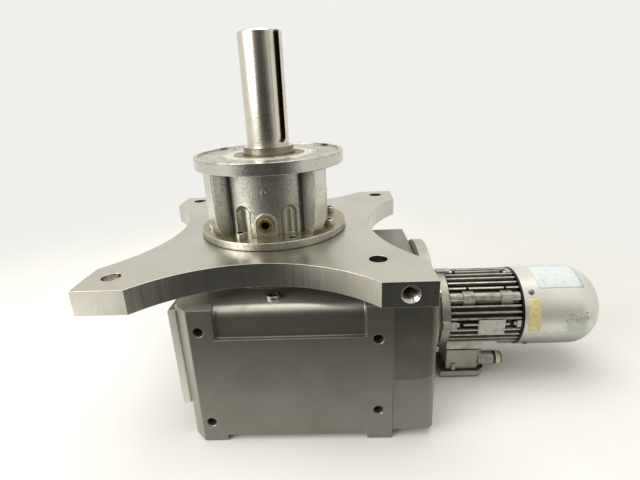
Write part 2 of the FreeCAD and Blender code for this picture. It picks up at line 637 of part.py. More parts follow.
def waist(name, half_side, half_reach, waist_reach, along_x, sign):
    """The wide cylinder that cuts one waist of the plate between two pads."""
    chord = half_side - S.pad_width
    rise = half_reach - waist_reach
    radius = (chord * chord + rise * rise) / (2 * rise)
    offset = sign * (waist_reach + radius)
    place = (offset, 0, plate_under) if along_x else (0, offset, plate_under)
    return cylinder(name, radius, S.plate_thick, place)


half_length, half_width = S.plate_length / 2, S.plate_width / 2
waists = [
    waist("front_waist", half_length, half_width, S.waist_front, False, -1),
    waist("rear_waist", half_length, half_width, S.waist_front, False, 1),
    waist("left_waist", half_width, half_length, S.waist_side, True, -1),
    waist("right_waist", half_width, half_length, S.waist_side, True, 1)]
plate_places = [(-S.plate_hole_side, -S.plate_hole_front), (-S.plate_hole_side, S.plate_hole_rear),
                (S.plate_hole_side, S.plate_hole_rear), (S.moved_hole_side, -S.moved_hole_front)]
plate_holes = [cylinder("plate_hole_%d" % number, S.plate_hole_radius, S.plate_thick, (x, y, plate_under))
               for number, (x, y) in enumerate(plate_places)]
plate_bore = cylinder("plate_bore", S.spigot_radius, S.plate_thick, (0, 0, plate_under))
plate_middle = plate_top - S.plate_thick / 2
edge_hole = turned("edge_hole", [
    (0, -S.edge_hole_depth - 6), (S.edge_hole_radius, -S.edge_hole_depth), (S.edge_hole_radius, -2),
    (S.edge_hole_radius + 2, 0), (0, 0)], (S.edge_hole_side, -half_width, plate_middle), "-Y")
foot_threads = [cylinder("foot_thread_%d" % number, m10 + S.fit_gap, thread_depth + 3,
                         (x, y, plate_top - thread_depth - 3))
                for number, (x, y, angle) in enumerate(foot_places)]
screw_places = round_places(S.plate_screw_circle, S.plate_screw_count)
screw_seat = plate_top - S.plate_screw_sink
sinks = []
for number, (x, y, angle) in enumerate(screw_places):
    sinks.append(cylinder("plate_sink_%d" % number, m12 * 1.6 + 0.4, S.plate_screw_sink, (x, y, screw_seat)))
    sinks.append(cylinder("plate_pass_%d" % number, m12 + 0.5, S.plate_thick, (x, y, plate_under)))
pieces["mounting_plate"] = cut("mounting_plate", plate_block, *waists, *plate_holes, plate_bore, edge_hole,
                               *foot_threads, *sinks)
plate_screw_length = S.plate_thick - S.plate_screw_sink + 17
pieces["plate_screws"] = group("plate_screws", *[
    socket_screw("plate_screw_%d" % number, m12, plate_screw_length, (x, y, screw_seat))
    for number, (x, y, angle) in enumerate(screw_places)])

# Gear housing: one casting with foot rails, a round boss under the plate and bearing seats inside
housing_block = padded("housing_block", [
    (-S.foot_left, -S.housing_front), (S.foot_right, -S.housing_front),
    (S.foot_right, S.setback - S.housing_front), (S.housing_right, S.setback - S.housing_front),
    (S.housing_right, S.housing_rear), (-S.housing_left, S.housing_rear),
    (-S.housing_left, S.front_chamfer - S.housing_front)], housing_low, S.housing_height)
depth = S.housing_front + S.housing_rear
left_rail_end = S.left_rail - S.foot_left
pieces["foot_rails"] = group(
    "foot_rails",
    padded("left_rail", [
        (-S.foot_left, -S.housing_front), (left_rail_end, -S.housing_front),
        (left_rail_end, S.housing_rear), (-S.housing_left, S.housing_rear),
        (-S.housing_left, S.front_chamfer - S.housing_front)], housing_low - S.foot_height, S.foot_height),
    box("right_rail", (S.foot_right - S.right_rail, -S.housing_front, housing_low - S.foot_height),
        (S.right_rail, depth, S.foot_height)))
left_pad = between("left_pad", (-S.housing_left - S.left_pad_thick, -S.left_pad_front, -S.left_pad_bottom),
                   (-S.housing_left + 1, -S.left_pad_rear, -S.left_pad_top))
top_boss = cylinder("top_boss", S.boss_radius, S.boss_height + 1, (0, 0, housing_top - 1))
top_spigot = cylinder("top_spigot", S.spigot_radius - S.fit_gap, 11, (0, 0, plate_under - 1))
housing_solid = fused("housing_solid", housing_block, left_pad, top_boss, top_spigot)

recess_left, recess_right = left_rail_end, S.foot_right - S.right_rail
front_recess = between("front_recess", (recess_left, -S.housing_front - 1, housing_top - S.recess_drop),
                       (recess_right, S.recess_depth - S.housing_front, housing_top + 1))
round_y = S.recess_depth - S.housing_front + S.recess_round
round_z = housing_top - S.recess_round
recess_corner = cut(
    "recess_corner",
    between("recess_corner_block", (recess_left, -S.housing_front, round_z),
            (recess_right, round_y, housing_top + 1)),
    cylinder("recess_corner_round", S.recess_round, recess_right - recess_left,
             (recess_left, round_y, round_z), "X"))
corner_x = S.housing_right - S.corner_round
corner_y = S.setback - S.housing_front + S.corner_round
right_corner = cut(
    "right_corner",
    between("right_corner_block", (corner_x, -S.housing_front, housing_low),
            (S.housing_right + 1, corner_y, housing_top)),
    cylinder("right_corner_round", S.corner_round, S.housing_height, (corner_x, corner_y, housing_low)))
right_under = between("right_under", (S.foot_right, -S.housing_front, housing_low),
                      (S.housing_right, S.housing_rear, housing_low + S.right_rise))
cavity_right = S.housing_right - S.end_wall
cavity_front = S.front_wall - S.housing_front
cavity = between("cavity", (S.wall - S.housing_left, cavity_front, cavity_low),
                 (cavity_right, S.housing_rear - S.wall, cavity_top))
housing_shell = cut("housing_shell", housing_solid, front_recess, recess_corner, right_corner, right_under,
                    cavity)

lip = as_size(4)
lower_boss_top = -S.lower_bearing_top + lip
face_places = [(x, -S.face_hole_level + sign * spacing / 2) for sign in (1, -1)
               for x, spacing in ((-S.left_hole_side, S.left_hole_spacing),
                                  (S.right_hole_side, S.right_hole_spacing))]
inner_bosses = [
    cylinder("lower_boss", S.lower_bearing_outer + S.boss_wall, lower_boss_top - cavity_low + 1,
             (0, 0, cavity_low - 1)),
    cylinder("lay_lower_boss", S.layshaft_bearing_outer + S.boss_wall, lower_boss_top - cavity_low + 1,
             (lay_x, lay_y, cavity_low - 1)),
    cylinder("lay_upper_boss", S.layshaft_bearing_outer + S.boss_wall,
             S.layshaft_upper_top + S.layshaft_bearing_width + 2 + cavity_top + 1,
             (lay_x, lay_y, -S.layshaft_upper_top - S.layshaft_bearing_width - 2)),
    cylinder("pinion_boss", S.pinion_bearing_outer + S.boss_wall,
             cavity_right - S.pinion_inner_bearing + lip + 1,
             (S.pinion_inner_bearing - lip, lay_y, axis_z), "X")]
face_boss_depth = S.face_hole_depth - S.front_wall + 6
for number, (x, z) in enumerate(face_places):
    inner_bosses.append(cylinder("face_boss_%d" % number, S.face_boss_radius, face_boss_depth,
                                 (x, cavity_front - 1, z), "Y"))
housing_bossed = fused("housing_bossed", housing_shell, *inner_bosses)

housing_bores = [
    cylinder("middle_seat", S.upper_bearing_outer + S.fit_gap, -S.middle_bearing_top - cavity_top + 1,
             (0, 0, cavity_top - 1)),
    cylinder("top_opening", S.seal_radius, S.boss_height + S.plate_thick, (0, 0, housing_top)),
    cylinder("lower_seat", S.lower_bearing_outer + S.fit_gap, -S.lower_bearing_top - housing_low,
             (0, 0, housing_low)),
    cylinder("lower_opening", S.lower_bearing_outer - 8, lip + 1, (0, 0, -S.lower_bearing_top)),
    cylinder("lay_lower_seat", S.layshaft_bearing_outer + S.fit_gap, -S.lower_bearing_top - housing_low,
             (lay_x, lay_y, housing_low)),
    cylinder("lay_lower_opening", S.layshaft_bearing_outer - 7, lip + 1,
             (lay_x, lay_y, -S.lower_bearing_top)),
    cylinder("lay_upper_seat", S.layshaft_bearing_outer + S.fit_gap, S.layshaft_bearing_width + 3,
             (lay_x, lay_y, -S.layshaft_upper_top - S.layshaft_bearing_width - 3)),
    cylinder("pinion_seat_bore", S.pinion_bearing_outer + S.fit_gap, S.housing_right - S.pinion_inner_bearing,
             (S.pinion_inner_bearing, lay_y, axis_z), "X"),
    cylinder("pinion_opening", S.pinion_bearing_outer - 6, lip + 1,
             (S.pinion_inner_bearing - lip - 1, lay_y, axis_z), "X"),
    cylinder("mouth", S.mouth_radius, S.mouth_depth + 1,
             (S.housing_right - S.mouth_depth, -S.mouth_shift, axis_z), "X"),
    between("rear_opening", (-S.rear_opening_left, S.housing_rear - S.wall - 1, -S.rear_opening_low),
            (S.rear_opening_right, S.housing_rear + 1, -S.rear_opening_high)),
    cylinder("vent_hole", plug_thread + S.fit_gap, S.wall + 2, (S.vent_side, -S.vent_front, cavity_top - 1))]
for number, (x, z) in enumerate(face_places):
    housing_bores.append(turned("face_hole_%d" % number, [
        (0, -S.face_hole_depth), (S.face_hole_radius, -S.face_hole_depth), (S.face_hole_radius, -1.5),
        (S.face_hole_radius + 1.5, 0), (0, 0)], (x, -S.housing_front, z), "-Y"))
for number, (x, y, angle) in enumerate(screw_places):
    housing_bores.append(cylinder("housing_thread_%d" % number, m12 + S.fit_gap, 20,
                                  (x, y, plate_under - 20)))

rear_face = S.housing_rear + S.rear_cover_thick
rim_middle = S.rear_cover_rim / 2
rear_columns = (-S.rear_opening_left - rim_middle, (S.rear_opening_right - S.rear_opening_left) / 2,
                S.rear_opening_right + rim_middle)
rear_rows = (-S.rear_opening_low - rim_middle, -S.rear_opening_high + rim_middle)
rear_places = [(x, z) for x in rear_columns for z in rear_rows]
for number, (x, z) in enumerate(rear_places):
    housing_bores.append(cylinder("rear_thread_%d" % number, m8 + S.fit_gap, S.wall - 1,
                                  (x, S.housing_rear - S.wall + 1, z), "Y"))

flange_centre = axis_z + S.input_flange_rise
flange_places = [(S.flange_screw_circle * cosine(angle), flange_centre + S.flange_screw_circle * sine(angle))
                 for angle in (0, 45, 135, 250, 300)]
for number, (y, z) in enumerate(flange_places):
    housing_bores.append(cylinder("flange_thread_%d" % number, m8 + S.fit_gap, 16,
                                  (S.housing_right - 16, y, z), "X"))
pieces["gear_housing"] = cut("gear_housing", housing_bossed, *housing_bores)

# Closing caps under the lower bearings, plug on top, rear assembly cover
pieces["lower_bearing_cap"] = cylinder("lower_bearing_cap", S.lower_bearing_outer, S.cap_thick,
                                       (0, 0, housing_low))
pieces["intermediate_bearing_cap"] = cylinder("intermediate_bearing_cap", S.layshaft_bearing_outer,
                                              S.cap_thick, (lay_x, lay_y, housing_low))
pieces["housing_plug"] = socket_screw("housing_plug", plug_thread, S.wall - 1,
                                      (S.vent_side, -S.vent_front, housing_top), "Z", as_size(11.5),
                                      as_size(6))
rear_plate = between(
    "rear_plate",
    (-S.rear_opening_left - S.rear_cover_rim, S.housing_rear, -S.rear_opening_low - S.rear_cover_rim),
    (S.rear_opening_right + S.rear_cover_rim, rear_face, -S.rear_opening_high + S.rear_cover_rim))
pieces["rear_cover"] = cut("rear_cover", rear_plate, *[
    cylinder("rear_pass_%d" % number, m8 + 0.5, S.rear_cover_thick, (x, S.housing_rear, z), "Y")
    for number, (x, z) in enumerate(rear_places)])
pieces["rear_cover_screws"] = group("rear_cover_screws", *[
    socket_screw("rear_cover_screw_%d" % number, m8, S.rear_cover_thick + S.wall - 3, (x, rear_face, z), "Y")
    for number, (x, z) in enumerate(rear_places)])

# Input flange between gear housing and motor
flange_disc = cylinder("flange_disc", S.input_flange_radius, S.input_flange_thick,
                       (S.housing_right, 0, flange_centre), "X")
flange_recess = cylinder("flange_recess", S.mouth_radius, S.input_recess,
                         (S.housing_right, -S.mouth_shift, axis_z), "X")
pilot_hole = cylinder("pilot_hole", S.pilot_radius, S.input_flange_thick, along_motor(S.housing_right), "X")
shield_places = round_places(S.shield_screw_circle, 4, 45)
shield_thread = as_size(9)
shield_threads = [cylinder("shield_thread_%d" % number, m8 + S.fit_gap, shield_thread,
                           along_motor(shield_start - shield_thread, y, z), "X")
                  for number, (y, z, angle) in enumerate(shield_places)]
flange_passes = [cylinder("flange_pass_%d" % number, m8 + 0.5, S.input_flange_thick,
                          (S.housing_right, y, z), "X")
                 for number, (y, z) in enumerate(flange_places)]
pieces["input_flange"] = cut("input_flange", flange_disc, flange_recess, pilot_hole, *shield_threads,
                             *flange_passes)
pieces["input_flange_screws"] = group("input_flange_screws", *[
    socket_screw("input_flange_screw_%d" % number, m8, S.input_flange_thick + 14, (shield_start, y, z), "X")
    for number, (y, z) in enumerate(flange_places)])


def about_motor(item, angle):
    """Swings an item built over the motor axis, with its own Z up, round that axis."""
    item.Placement = Placement(Vector(), Rotation(Vector(1, 0, 0), 1))
    bind(item, ".Placement.Base.z", axis_z)
    bind(item, ".Placement.Rotation.Angle", angle)
    return item


# Motor front shield with the front rotor bearing and three lugs for the screws to the stator frame
frame_bore_radius = S.frame_radius - S.frame_wall
fin_radius = S.frame_radius + S.fin_height
rim_radius = fin_radius - 1
shaft_hole = S.rotor_seat + 4
spigot_length = as_size(6)
spigot_bore = frame_bore_radius - 5
shield_hub = rotor_front_bearing + S.rotor_bearing_width + 3
shield_turned = turned("shield_turned", [
    (shaft_hole, shield_start - S.pilot_depth), (S.pilot_radius - S.fit_gap, shield_start - S.pilot_depth),
    (S.pilot_radius - S.fit_gap, shield_start), (S.shield_flange_radius, shield_start),
    (S.shield_flange_radius, shield_start + S.shield_flange_thick),
    (S.frame_radius, shield_start + S.shield_flange_thick), (S.frame_radius, frame_start - S.shield_rim),
    (rim_radius, frame_start - S.shield_rim), (rim_radius, frame_start),
    (frame_bore_radius - S.fit_gap, frame_start),
    (frame_bore_radius - S.fit_gap, frame_start + spigot_length),
    (spigot_bore, frame_start + spigot_length), (spigot_bore, shield_hub),
    (S.rotor_bearing_outer + S.fit_gap, shield_hub), (S.rotor_bearing_outer + S.fit_gap, rotor_front_bearing),
    (shaft_hole, rotor_front_bearing)], motor_axis, "X")
tie_angles = (0, 90, 270)
front_tie_reach = fin_radius + S.tie_lug_reach
front_tie_level = fin_radius - 2
rear_tie_level = fin_radius - S.cover_wall - 3


def tie_lug(name, start, end, reach, angle):
    """A square lug for one of the screws between a shield and the stator frame."""
    return about_motor(group(name, between(
        name + "_block", (start, -S.tie_lug_width / 2, S.frame_radius - 2),
        (end, S.tie_lug_width / 2, reach))),
        as_size(angle))


def tie_hole(name, radius, start, end, level, angle):
    return about_motor(group(name, cylinder(name + "_drill", radius, end - start, (start, 0, level), "X")),
                       as_size(angle))


tie_start = frame_start - S.shield_rim
front_lug_end = frame_start + S.tie_lug_length
rear_lug_start = frame_end - S.tie_lug_length
shield_lugs = [tie_lug("shield_lug_%d" % angle, tie_start, frame_start, front_tie_reach, angle)
               for angle in tie_angles]
shield_cast = fused("shield_cast", shield_turned, *shield_lugs)
shield_ties = [tie_hole("shield_tie_%d" % angle, m5 + S.fit_gap, tie_start, frame_start,
                        front_tie_level, angle)
               for angle in tie_angles]
pieces["motor_front_shield"] = cut("motor_front_shield", shield_cast, *shield_ties, *[
    cylinder("shield_pass_%d" % number, m8 + 0.5, S.shield_flange_thick, along_motor(shield_start, y, z), "X")
    for number, (y, z, angle) in enumerate(shield_places)])
shield_screws = [
    socket_screw("motor_shield_screw_%d" % number, m8, S.shield_flange_thick + shield_thread - 1,
                 along_motor(shield_start + S.shield_flange_thick, y, z), "X")
    for number, (y, z, angle) in enumerate(shield_places)]
for angle in tie_angles:
    shield_screws.append(about_motor(group("front_tie_%d" % angle, socket_screw(
        "front_tie_screw_%d" % angle, m5, S.tie_lug_length + S.shield_rim - 3,
        (front_lug_end, 0, front_tie_level), "X")), as_size(angle)))
    shield_screws.append(about_motor(group("rear_tie_%d" % angle, socket_screw(
        "rear_tie_screw_%d" % angle, m5, S.tie_lug_length + S.rear_shield_thick + 10,
        (rear_lug_start, 0, rear_tie_level), "-X")), as_size(angle)))
pieces["motor_shield_screws"] = group("motor_shield_screws", *shield_screws)

# Stator frame: a finned tube with corner rails, drilled lugs and a block seat for the terminal box
frame_fins = ring("frame_fins", frame_bore_radius, S.frame_radius, S.frame_length,
                  along_motor(frame_start), "X")
fin_section = body_sketch(frame_fins, "fin_section", "XY_Plane", [
    (S.frame_radius - 1, -S.fin_thick / 2), (fin_radius, -S.fin_thick / 2),
    (fin_radius, S.fin_thick / 2), (S.frame_radius - 1, S.fin_thick / 2)])
fin = frame_fins.newObject("PartDesign::Pad", "fin")
fin.Profile = fin_section
bind(fin, "Length", S.frame_length)
fins = frame_fins.newObject("PartDesign::PolarPattern", "fins")
fins.Originals = [fin]
fins.Axis = (fin_section, ["N_Axis"])
fins.Angle = 360
bind(fins, "Occurrences", S.fin_count)
frame_fins.Tip = fins
rail_centre = S.frame_radius - 7


def corner_bar(name, reach, start, length):
    """A square bar along the motor whose edge points away from the axis."""
    bar = new("Part::Prism", name)
    bar.Polygon = 4
    bind(bar, "Circumradius", reach - rail_centre)
    bind(bar, "Height", length)
    return seat(bar, (start, 0, rail_centre), "X")


rail_reach = fin_radius + S.rail_height
lug_reach = fin_radius + S.lug_height
lug_starts = (frame_start + S.lug_inset, frame_start + S.lug_inset + S.lug_pitch)
lug_bars, lug_holes = [], []
for side, sign in (("front", 1), ("rear", -1)):
    bars = [corner_bar(side + "_rail", rail_reach, frame_start, S.frame_length)]
    bars += [corner_bar("%s_lug_%d" % (side, number), lug_reach, start, S.lug_width)
             for number, start in enumerate(lug_starts)]
    lug_bars.append(about_motor(fused(side + "_lugs", *bars), sign * S.lug_angle))
    drills = [cylinder("%s_lug_drill_%d" % (side, number), m5, 14,
                       (start + S.lug_width / 2, 0, lug_reach - 18))
              for number, start in enumerate(lug_starts)]
    lug_holes.append(about_motor(group(side + "_drills", *drills), sign * (S.lug_angle - 12)))
for angle in tie_angles:
    lug_bars.append(tie_lug("front_frame_lug_%d" % angle, frame_start, front_lug_end, front_tie_reach, angle))
    lug_bars.append(tie_lug("rear_frame_lug_%d" % angle, rear_lug_start, frame_end, fin_radius, angle))
    for name, start, end in (("room", front_lug_end, front_lug_end + 12),
                             ("entry", rear_lug_start - 12, rear_lug_start)):
        level = front_tie_level if name == "room" else rear_tie_level
        lug_holes.append(tie_hole("tie_%s_%d" % (name, angle), m5 * 1.6 + 1.5, start, end, level, angle))
    lug_holes.append(tie_hole("front_pass_%d" % angle, m5 + 0.3, frame_start, front_lug_end,
                              front_tie_level, angle))
    lug_holes.append(tie_hole("rear_pass_%d" % angle, m5 + 0.3, rear_lug_start, frame_end,
                              rear_tie_level, angle))
box_start = frame_start + 0.5
box_end = box_start + S.box_length
seat_low = -S.frame_radius - S.seat_drop
fin_clear = cut(
    "fin_clear",
    between("fin_clear_block", along_motor(frame_start, -S.seat_half, -fin_radius - 1),
            along_motor(frame_start + S.seat_length, S.seat_half, -S.frame_radius / 2)),
    cylinder("fin_clear_tube", S.frame_radius, S.frame_length, along_motor(frame_start), "X"))
seat_plate = between("seat_plate", along_motor(frame_start, -S.seat_half, seat_low + S.neck_height),
                     along_motor(frame_start + S.seat_length, S.seat_half, -S.frame_radius / 2))
seat_neck = between("seat_neck", along_motor(frame_start, -S.box_half + 1, seat_low),
                    along_motor(box_end - 1, S.box_half - 1, -S.frame_radius / 2))
plate_angle = 90 - S.nameplate_angle
plate_start = frame_start + S.plate_inset
plate_end = plate_start + S.nameplate_length
plate_face = fin_radius + 1
plate_pad = about_motor(group("plate_pad", between(
    "plate_pad_block", (plate_start - 1, -S.nameplate_width / 2 + 3, S.frame_radius - 3),
    (plate_end - 1, S.nameplate_width / 2 - 3, plate_face))), plate_angle)
frame_bore = cylinder("frame_bore", frame_bore_radius, S.frame_length, along_motor(frame_start), "X")
box_top = seat_low - S.gasket_thick
ceiling = box_top - S.box_roof
wire_place = box_start + S.wire_inset
wire_length = -seat_low - frame_bore_radius + S.wire_hole
wire_hole = cylinder("wire_hole", S.wire_hole, wire_length, along_motor(wire_place, 0, seat_low))
frame_cleared = cut("frame_cleared", frame_fins, fin_clear)
frame_cast = fused("frame_cast", frame_cleared, seat_plate, seat_neck, plate_pad, *lug_bars)
pieces["stator_frame"] = cut("stator_frame", frame_cast, frame_bore, wire_hole, *lug_holes)
pieces["nameplate"] = about_motor(group("nameplate", between(
    "nameplate_sheet", (plate_start, -S.nameplate_width / 2, plate_face),
    (plate_end, S.nameplate_width / 2, plate_face + S.nameplate_thick))), plate_angle)

# Stator core with end windings, rotor with its shaft
core_start = frame_start + S.core_inset
core_length = S.frame_length - 2 * S.core_inset
winding_length = S.core_inset - spigot_length - 1
winding_radius = frame_bore_radius - 5
stator_bore = S.rotor_radius + S.air_gap
pieces["stator_core"] = ring("stator_core", stator_bore, frame_bore_radius - S.fit_gap, core_length,
                             along_motor(core_start), "X")
pieces["stator_windings"] = group(
    "stator_windings",
    ring("front_winding", stator_bore + 2, winding_radius, winding_length,
         along_motor(core_start - winding_length), "X"),
    ring("rear_winding", stator_bore + 2, winding_radius, winding_length,
         along_motor(core_start + core_length), "X"))
pieces["rotor_core"] = ring("rotor_core", S.rotor_shaft_radius + S.fit_gap, S.rotor_radius, core_length,
                            along_motor(core_start), "X")

# Rear shield with the brake's friction face, brake and fan
cover_radius = fin_radius + S.cover_step
cover_bore = cover_radius - S.cover_wall
web_end = cover_start + S.web_rise
rear_seat_end = rotor_rear_bearing + S.rotor_bearing_width
friction_face = rear_seat_end + S.friction_wall
disc_start = friction_face + S.brake_clearance
armature_start = disc_start + S.disc_thick + S.brake_clearance
magnet_start = armature_start + S.armature_thick + S.brake_stroke
magnet_end = magnet_start + S.magnet_length
fan_start = magnet_end + S.fan_gap
fan_end = fan_start + S.fan_width
bolt_places = round_places(S.brake_bolt_circle, 3, 90)
bolt_depth = as_size(10)
cover_rim_end = cover_start + S.cover_seat
rear_turned = turned("rear_turned", [
    (S.rotor_bearing_outer + S.fit_gap, frame_end), (spigot_bore, frame_end),
    (spigot_bore, frame_end - spigot_length), (frame_bore_radius - S.fit_gap, frame_end - spigot_length),
    (frame_bore_radius - S.fit_gap, frame_end), (fin_radius, frame_end), (fin_radius, cover_start),
    (cover_bore - S.fit_gap, cover_start), (cover_bore - S.fit_gap, cover_rim_end),
    (cover_bore - 8, cover_rim_end), (cover_bore - 8, web_end), (S.disc_radius + 2, web_end),
    (S.disc_radius + 2, friction_face), (shaft_hole, friction_face), (shaft_hole, rear_seat_end),
    (S.rotor_bearing_outer + S.fit_gap, rear_seat_end)], motor_axis, "X")
cover_screw_place = cover_start + S.cover_screw_inset
cover_angles = [45 + 90 * number for number in range(4)]


def cover_hole(name, radius, depth, angle):
    """A round hole through the fan cover's skirt, square to the motor axis."""
    return about_motor(group(name, cylinder(name + "_drill", radius, depth + S.cover_wall + 1,
                                            (cover_screw_place, 0, cover_bore - depth))), as_size(angle))


cover_threads = [cover_hole("cover_thread_%d" % angle, m5 + S.fit_gap, as_size(6.5), angle)
                 for angle in cover_angles]
bolt_threads = [cylinder("bolt_thread_%d" % number, S.brake_bolt_radius + S.fit_gap, bolt_depth,
                         along_motor(web_end - bolt_depth, y, z), "X")
                for number, (y, z, angle) in enumerate(bolt_places)]
rear_ties = [tie_hole("rear_tie_hole_%d" % angle, m5 + S.fit_gap, frame_end, cover_start + 11,
                      rear_tie_level, angle)
             for angle in tie_angles]
pieces["rear_shield"] = cut("rear_shield", rear_turned, *bolt_threads, *cover_threads, *rear_ties)
pieces["brake_hub"] = ring("brake_hub", S.tail_radius + S.fit_gap, S.hub_radius, S.hub_length,
                           along_motor(disc_start - S.hub_lead), "X")
pieces["brake_disc"] = ring("brake_disc", S.hub_radius + S.fit_gap, S.disc_radius, S.disc_thick,
                            along_motor(disc_start), "X")
magnet_bore = S.hub_radius + 4
pieces["brake_armature"] = cut(
    "brake_armature",
    ring("armature_plate", magnet_bore, S.armature_radius, S.armature_thick,
         along_motor(armature_start), "X"),
    *[cylinder("armature_hole_%d" % number, S.brake_bolt_radius + 0.4, S.armature_thick,
               along_motor(armature_start, y, z), "X") for number, (y, z, angle) in enumerate(bolt_places)])
spring_places = round_places(S.spring_circle, S.spring_count)
pieces["brake_magnet"] = cut(
    "brake_magnet",
    ring("magnet_body", magnet_bore, S.armature_radius, S.magnet_length, along_motor(magnet_start), "X"),
    *[cylinder("magnet_hole_%d" % number, S.brake_bolt_radius + S.fit_gap, S.magnet_length,
               along_motor(magnet_start, y, z), "X") for number, (y, z, angle) in enumerate(bolt_places)],
    *[cylinder("spring_pocket_%d" % number, S.spring_radius + S.fit_gap, S.spring_depth,
               along_motor(magnet_start, y, z), "X") for number, (y, z, angle) in enumerate(spring_places)])
pieces["brake_springs"] = group("brake_springs", *[
    ring("brake_spring_%d" % number, S.spring_radius - 1.2, S.spring_radius, S.spring_depth,
         along_motor(magnet_start, y, z), "X") for number, (y, z, angle) in enumerate(spring_places)])
pieces["brake_bolts"] = group("brake_bolts", *[
    socket_screw("brake_bolt_%d" % number, S.brake_bolt_radius, magnet_end - web_end + bolt_depth - 1,
                 along_motor(magnet_end, y, z), "X") for number, (y, z, angle) in enumerate(bolt_places)])
fan_radius = cover_bore - S.fan_clearance
fan_hub = ring("fan_hub", S.tail_radius + S.fit_gap, S.hub_radius, S.fan_width, along_motor(fan_start), "X")
fan_plate = ring("fan_plate", S.hub_radius - 1, fan_radius, S.fan_blade_thick, along_motor(fan_start), "X")
blade_half = S.fan_blade_thick / 2
blades = []
for number in range(int(S.fan_blades.value)):
    blade_low = between("blade_low_%d" % number, (fan_start, -blade_half, S.hub_radius - 1),
                        (fan_end, blade_half, fan_radius - 8))
    blade_tip = between("blade_tip_%d" % number, (fan_start, -blade_half, fan_radius - 9),
                        (fan_end - 5, blade_half, fan_radius))
    blades.append(about_motor(fused("blade_%d" % number, blade_low, blade_tip),
                              as_size(360.0 / S.fan_blades.value * number)))
pieces["fan"] = fused("fan", fan_hub, fan_plate, *blades)
pinion_end = S.input_start + S.input_width + 2
front_seat_end = rotor_front_bearing + S.rotor_bearing_width
pieces["rotor_shaft"] = turned("rotor_shaft", [
    (0, S.input_start - 2), (S.pinion_shaft_radius, S.input_start - 2), (S.pinion_shaft_radius, pinion_end),
    (S.rotor_seat, pinion_end), (S.rotor_seat, front_seat_end), (S.rotor_shaft_radius, front_seat_end),
    (S.rotor_shaft_radius, rotor_rear_bearing), (S.rotor_seat, rotor_rear_bearing),
    (S.rotor_seat, rear_seat_end), (S.tail_radius, rear_seat_end), (S.tail_radius, fan_end + 2),
    (0, fan_end + 2)], motor_axis, "X")


# Fan cover: a pressed sheet bowl with intake slots in its end
def bowl(name, radius, start, end, rounding):
    """A cylinder with one rounded end, as wide and as long as the pressed sheet's outer or inner face."""
    blank = cylinder(name + "_blank", radius, end - start, along_motor(start), "X")
    doc.recompute()
    edges = blank.Shape.Edges
    far = max(range(len(edges)), key=lambda place: edges[place].BoundBox.XMin)
    rounded = new("Part::Fillet", name)
    rounded.Base = blank
    rounded.Edges = [(far + 1, rounding.value, rounding.value)]
    return rounded


cover_end = cover_start + S.cover_length
outside = bowl("cover_outside", cover_radius, cover_start, cover_end, S.cover_round)
inside = bowl("cover_inside", cover_bore, cover_start - 1, cover_end - S.cover_wall,
              S.cover_round - S.cover_wall)
slot_half = S.cover_slot_width / 2
slots = []
for number in range(int(S.cover_slot_count.value)):
    slot_box = between("slot_box_%d" % number, (cover_end - 12, -slot_half, S.cover_slot_start),
                       (cover_end + 1, slot_half, S.cover_slot_end))
    slot_end = cylinder("slot_end_%d" % number, slot_half, 13, (cover_end - 12, 0, S.cover_slot_end), "X")
    slots.append(about_motor(fused("slot_%d" % number, slot_box, slot_end),
                             as_size(360.0 / S.cover_slot_count.value * number)))
cover_passes = [cover_hole("cover_pass_%d" % angle, m5 + 0.3, as_size(1), angle) for angle in cover_angles]
pieces["fan_cover"] = cut("fan_cover", outside, inside, *slots, *cover_passes)
cover_screws = []
for angle in cover_angles:
    shank = cylinder("fan_cover_shank_%d" % angle, m5, 7, (cover_screw_place, 0, cover_radius - 6.5))
    head = turned("fan_cover_head_%d" % angle, [(0, 0), (m5 * 2, 0), (m5 * 1.8, 1.4), (m5, 2.4), (0, 2.6)],
                  (cover_screw_place, 0, cover_radius + 0.2))
    cover_screws.append(about_motor(fused("fan_cover_screw_%d" % angle, shank, head), as_size(angle)))
pieces["fan_cover_screws"] = group("fan_cover_screws", *cover_screws)

# Terminal box under the frame's seat, with gaskets, lid, terminal block and the closed cable outlet
box_low = axis_z + box_top - S.box_height
box_block = padded("box_block", [
    (box_start, -S.box_half), (box_end - S.box_chamfer, -S.box_half), (box_end, S.box_chamfer - S.box_half),
    (box_end, S.box_half), (box_start, S.box_half)], box_low, S.box_height)
outlet_level = box_low - axis_z + S.outlet_rise
outlet_face = box_end + S.outlet_reach
outlet_root = as_size(8)
outlet_at = along_motor(box_end - outlet_root, -S.outlet_side, outlet_level)
outlet_boss = cylinder("outlet_boss", S.outlet_radius, S.outlet_reach + outlet_root, outlet_at, "X")
lid_places = [(box_start + S.lid_screw_near, -S.lid_screw_side),
              (box_start + S.lid_screw_far, S.lid_screw_side)]
m4 = as_size(2)
screw_boss = as_size(12)
lid_bosses = [cylinder("lid_boss_%d" % number, m5 * 2, screw_boss, (x, y, box_low))
              for number, (x, y) in enumerate(lid_places)]
box_cast = fused("box_cast", box_block, outlet_boss, *lid_bosses)
inner_start, inner_end = box_start + S.box_wall, box_end - S.box_wall
inner_half = S.box_half - S.box_wall
inner_chamfer = S.box_chamfer - S.box_wall / 2
box_hollow = padded("box_hollow", [
    (inner_start, -inner_half), (inner_end - inner_chamfer, -inner_half),
    (inner_end, inner_chamfer - inner_half),
    (inner_end, inner_half), (inner_start, inner_half)], box_low, S.box_height - S.box_roof)
box_wires = cylinder("box_wires", S.wire_hole, S.box_roof, along_motor(wire_place, 0, ceiling))
outlet_bore = cylinder("outlet_bore", S.outlet_bore + S.fit_gap, S.outlet_reach + outlet_root, outlet_at, "X")
lid_threads = [cylinder("lid_thread_%d" % number, m4 + S.fit_gap, screw_boss, (x, y, box_low))
               for number, (x, y) in enumerate(lid_places)]
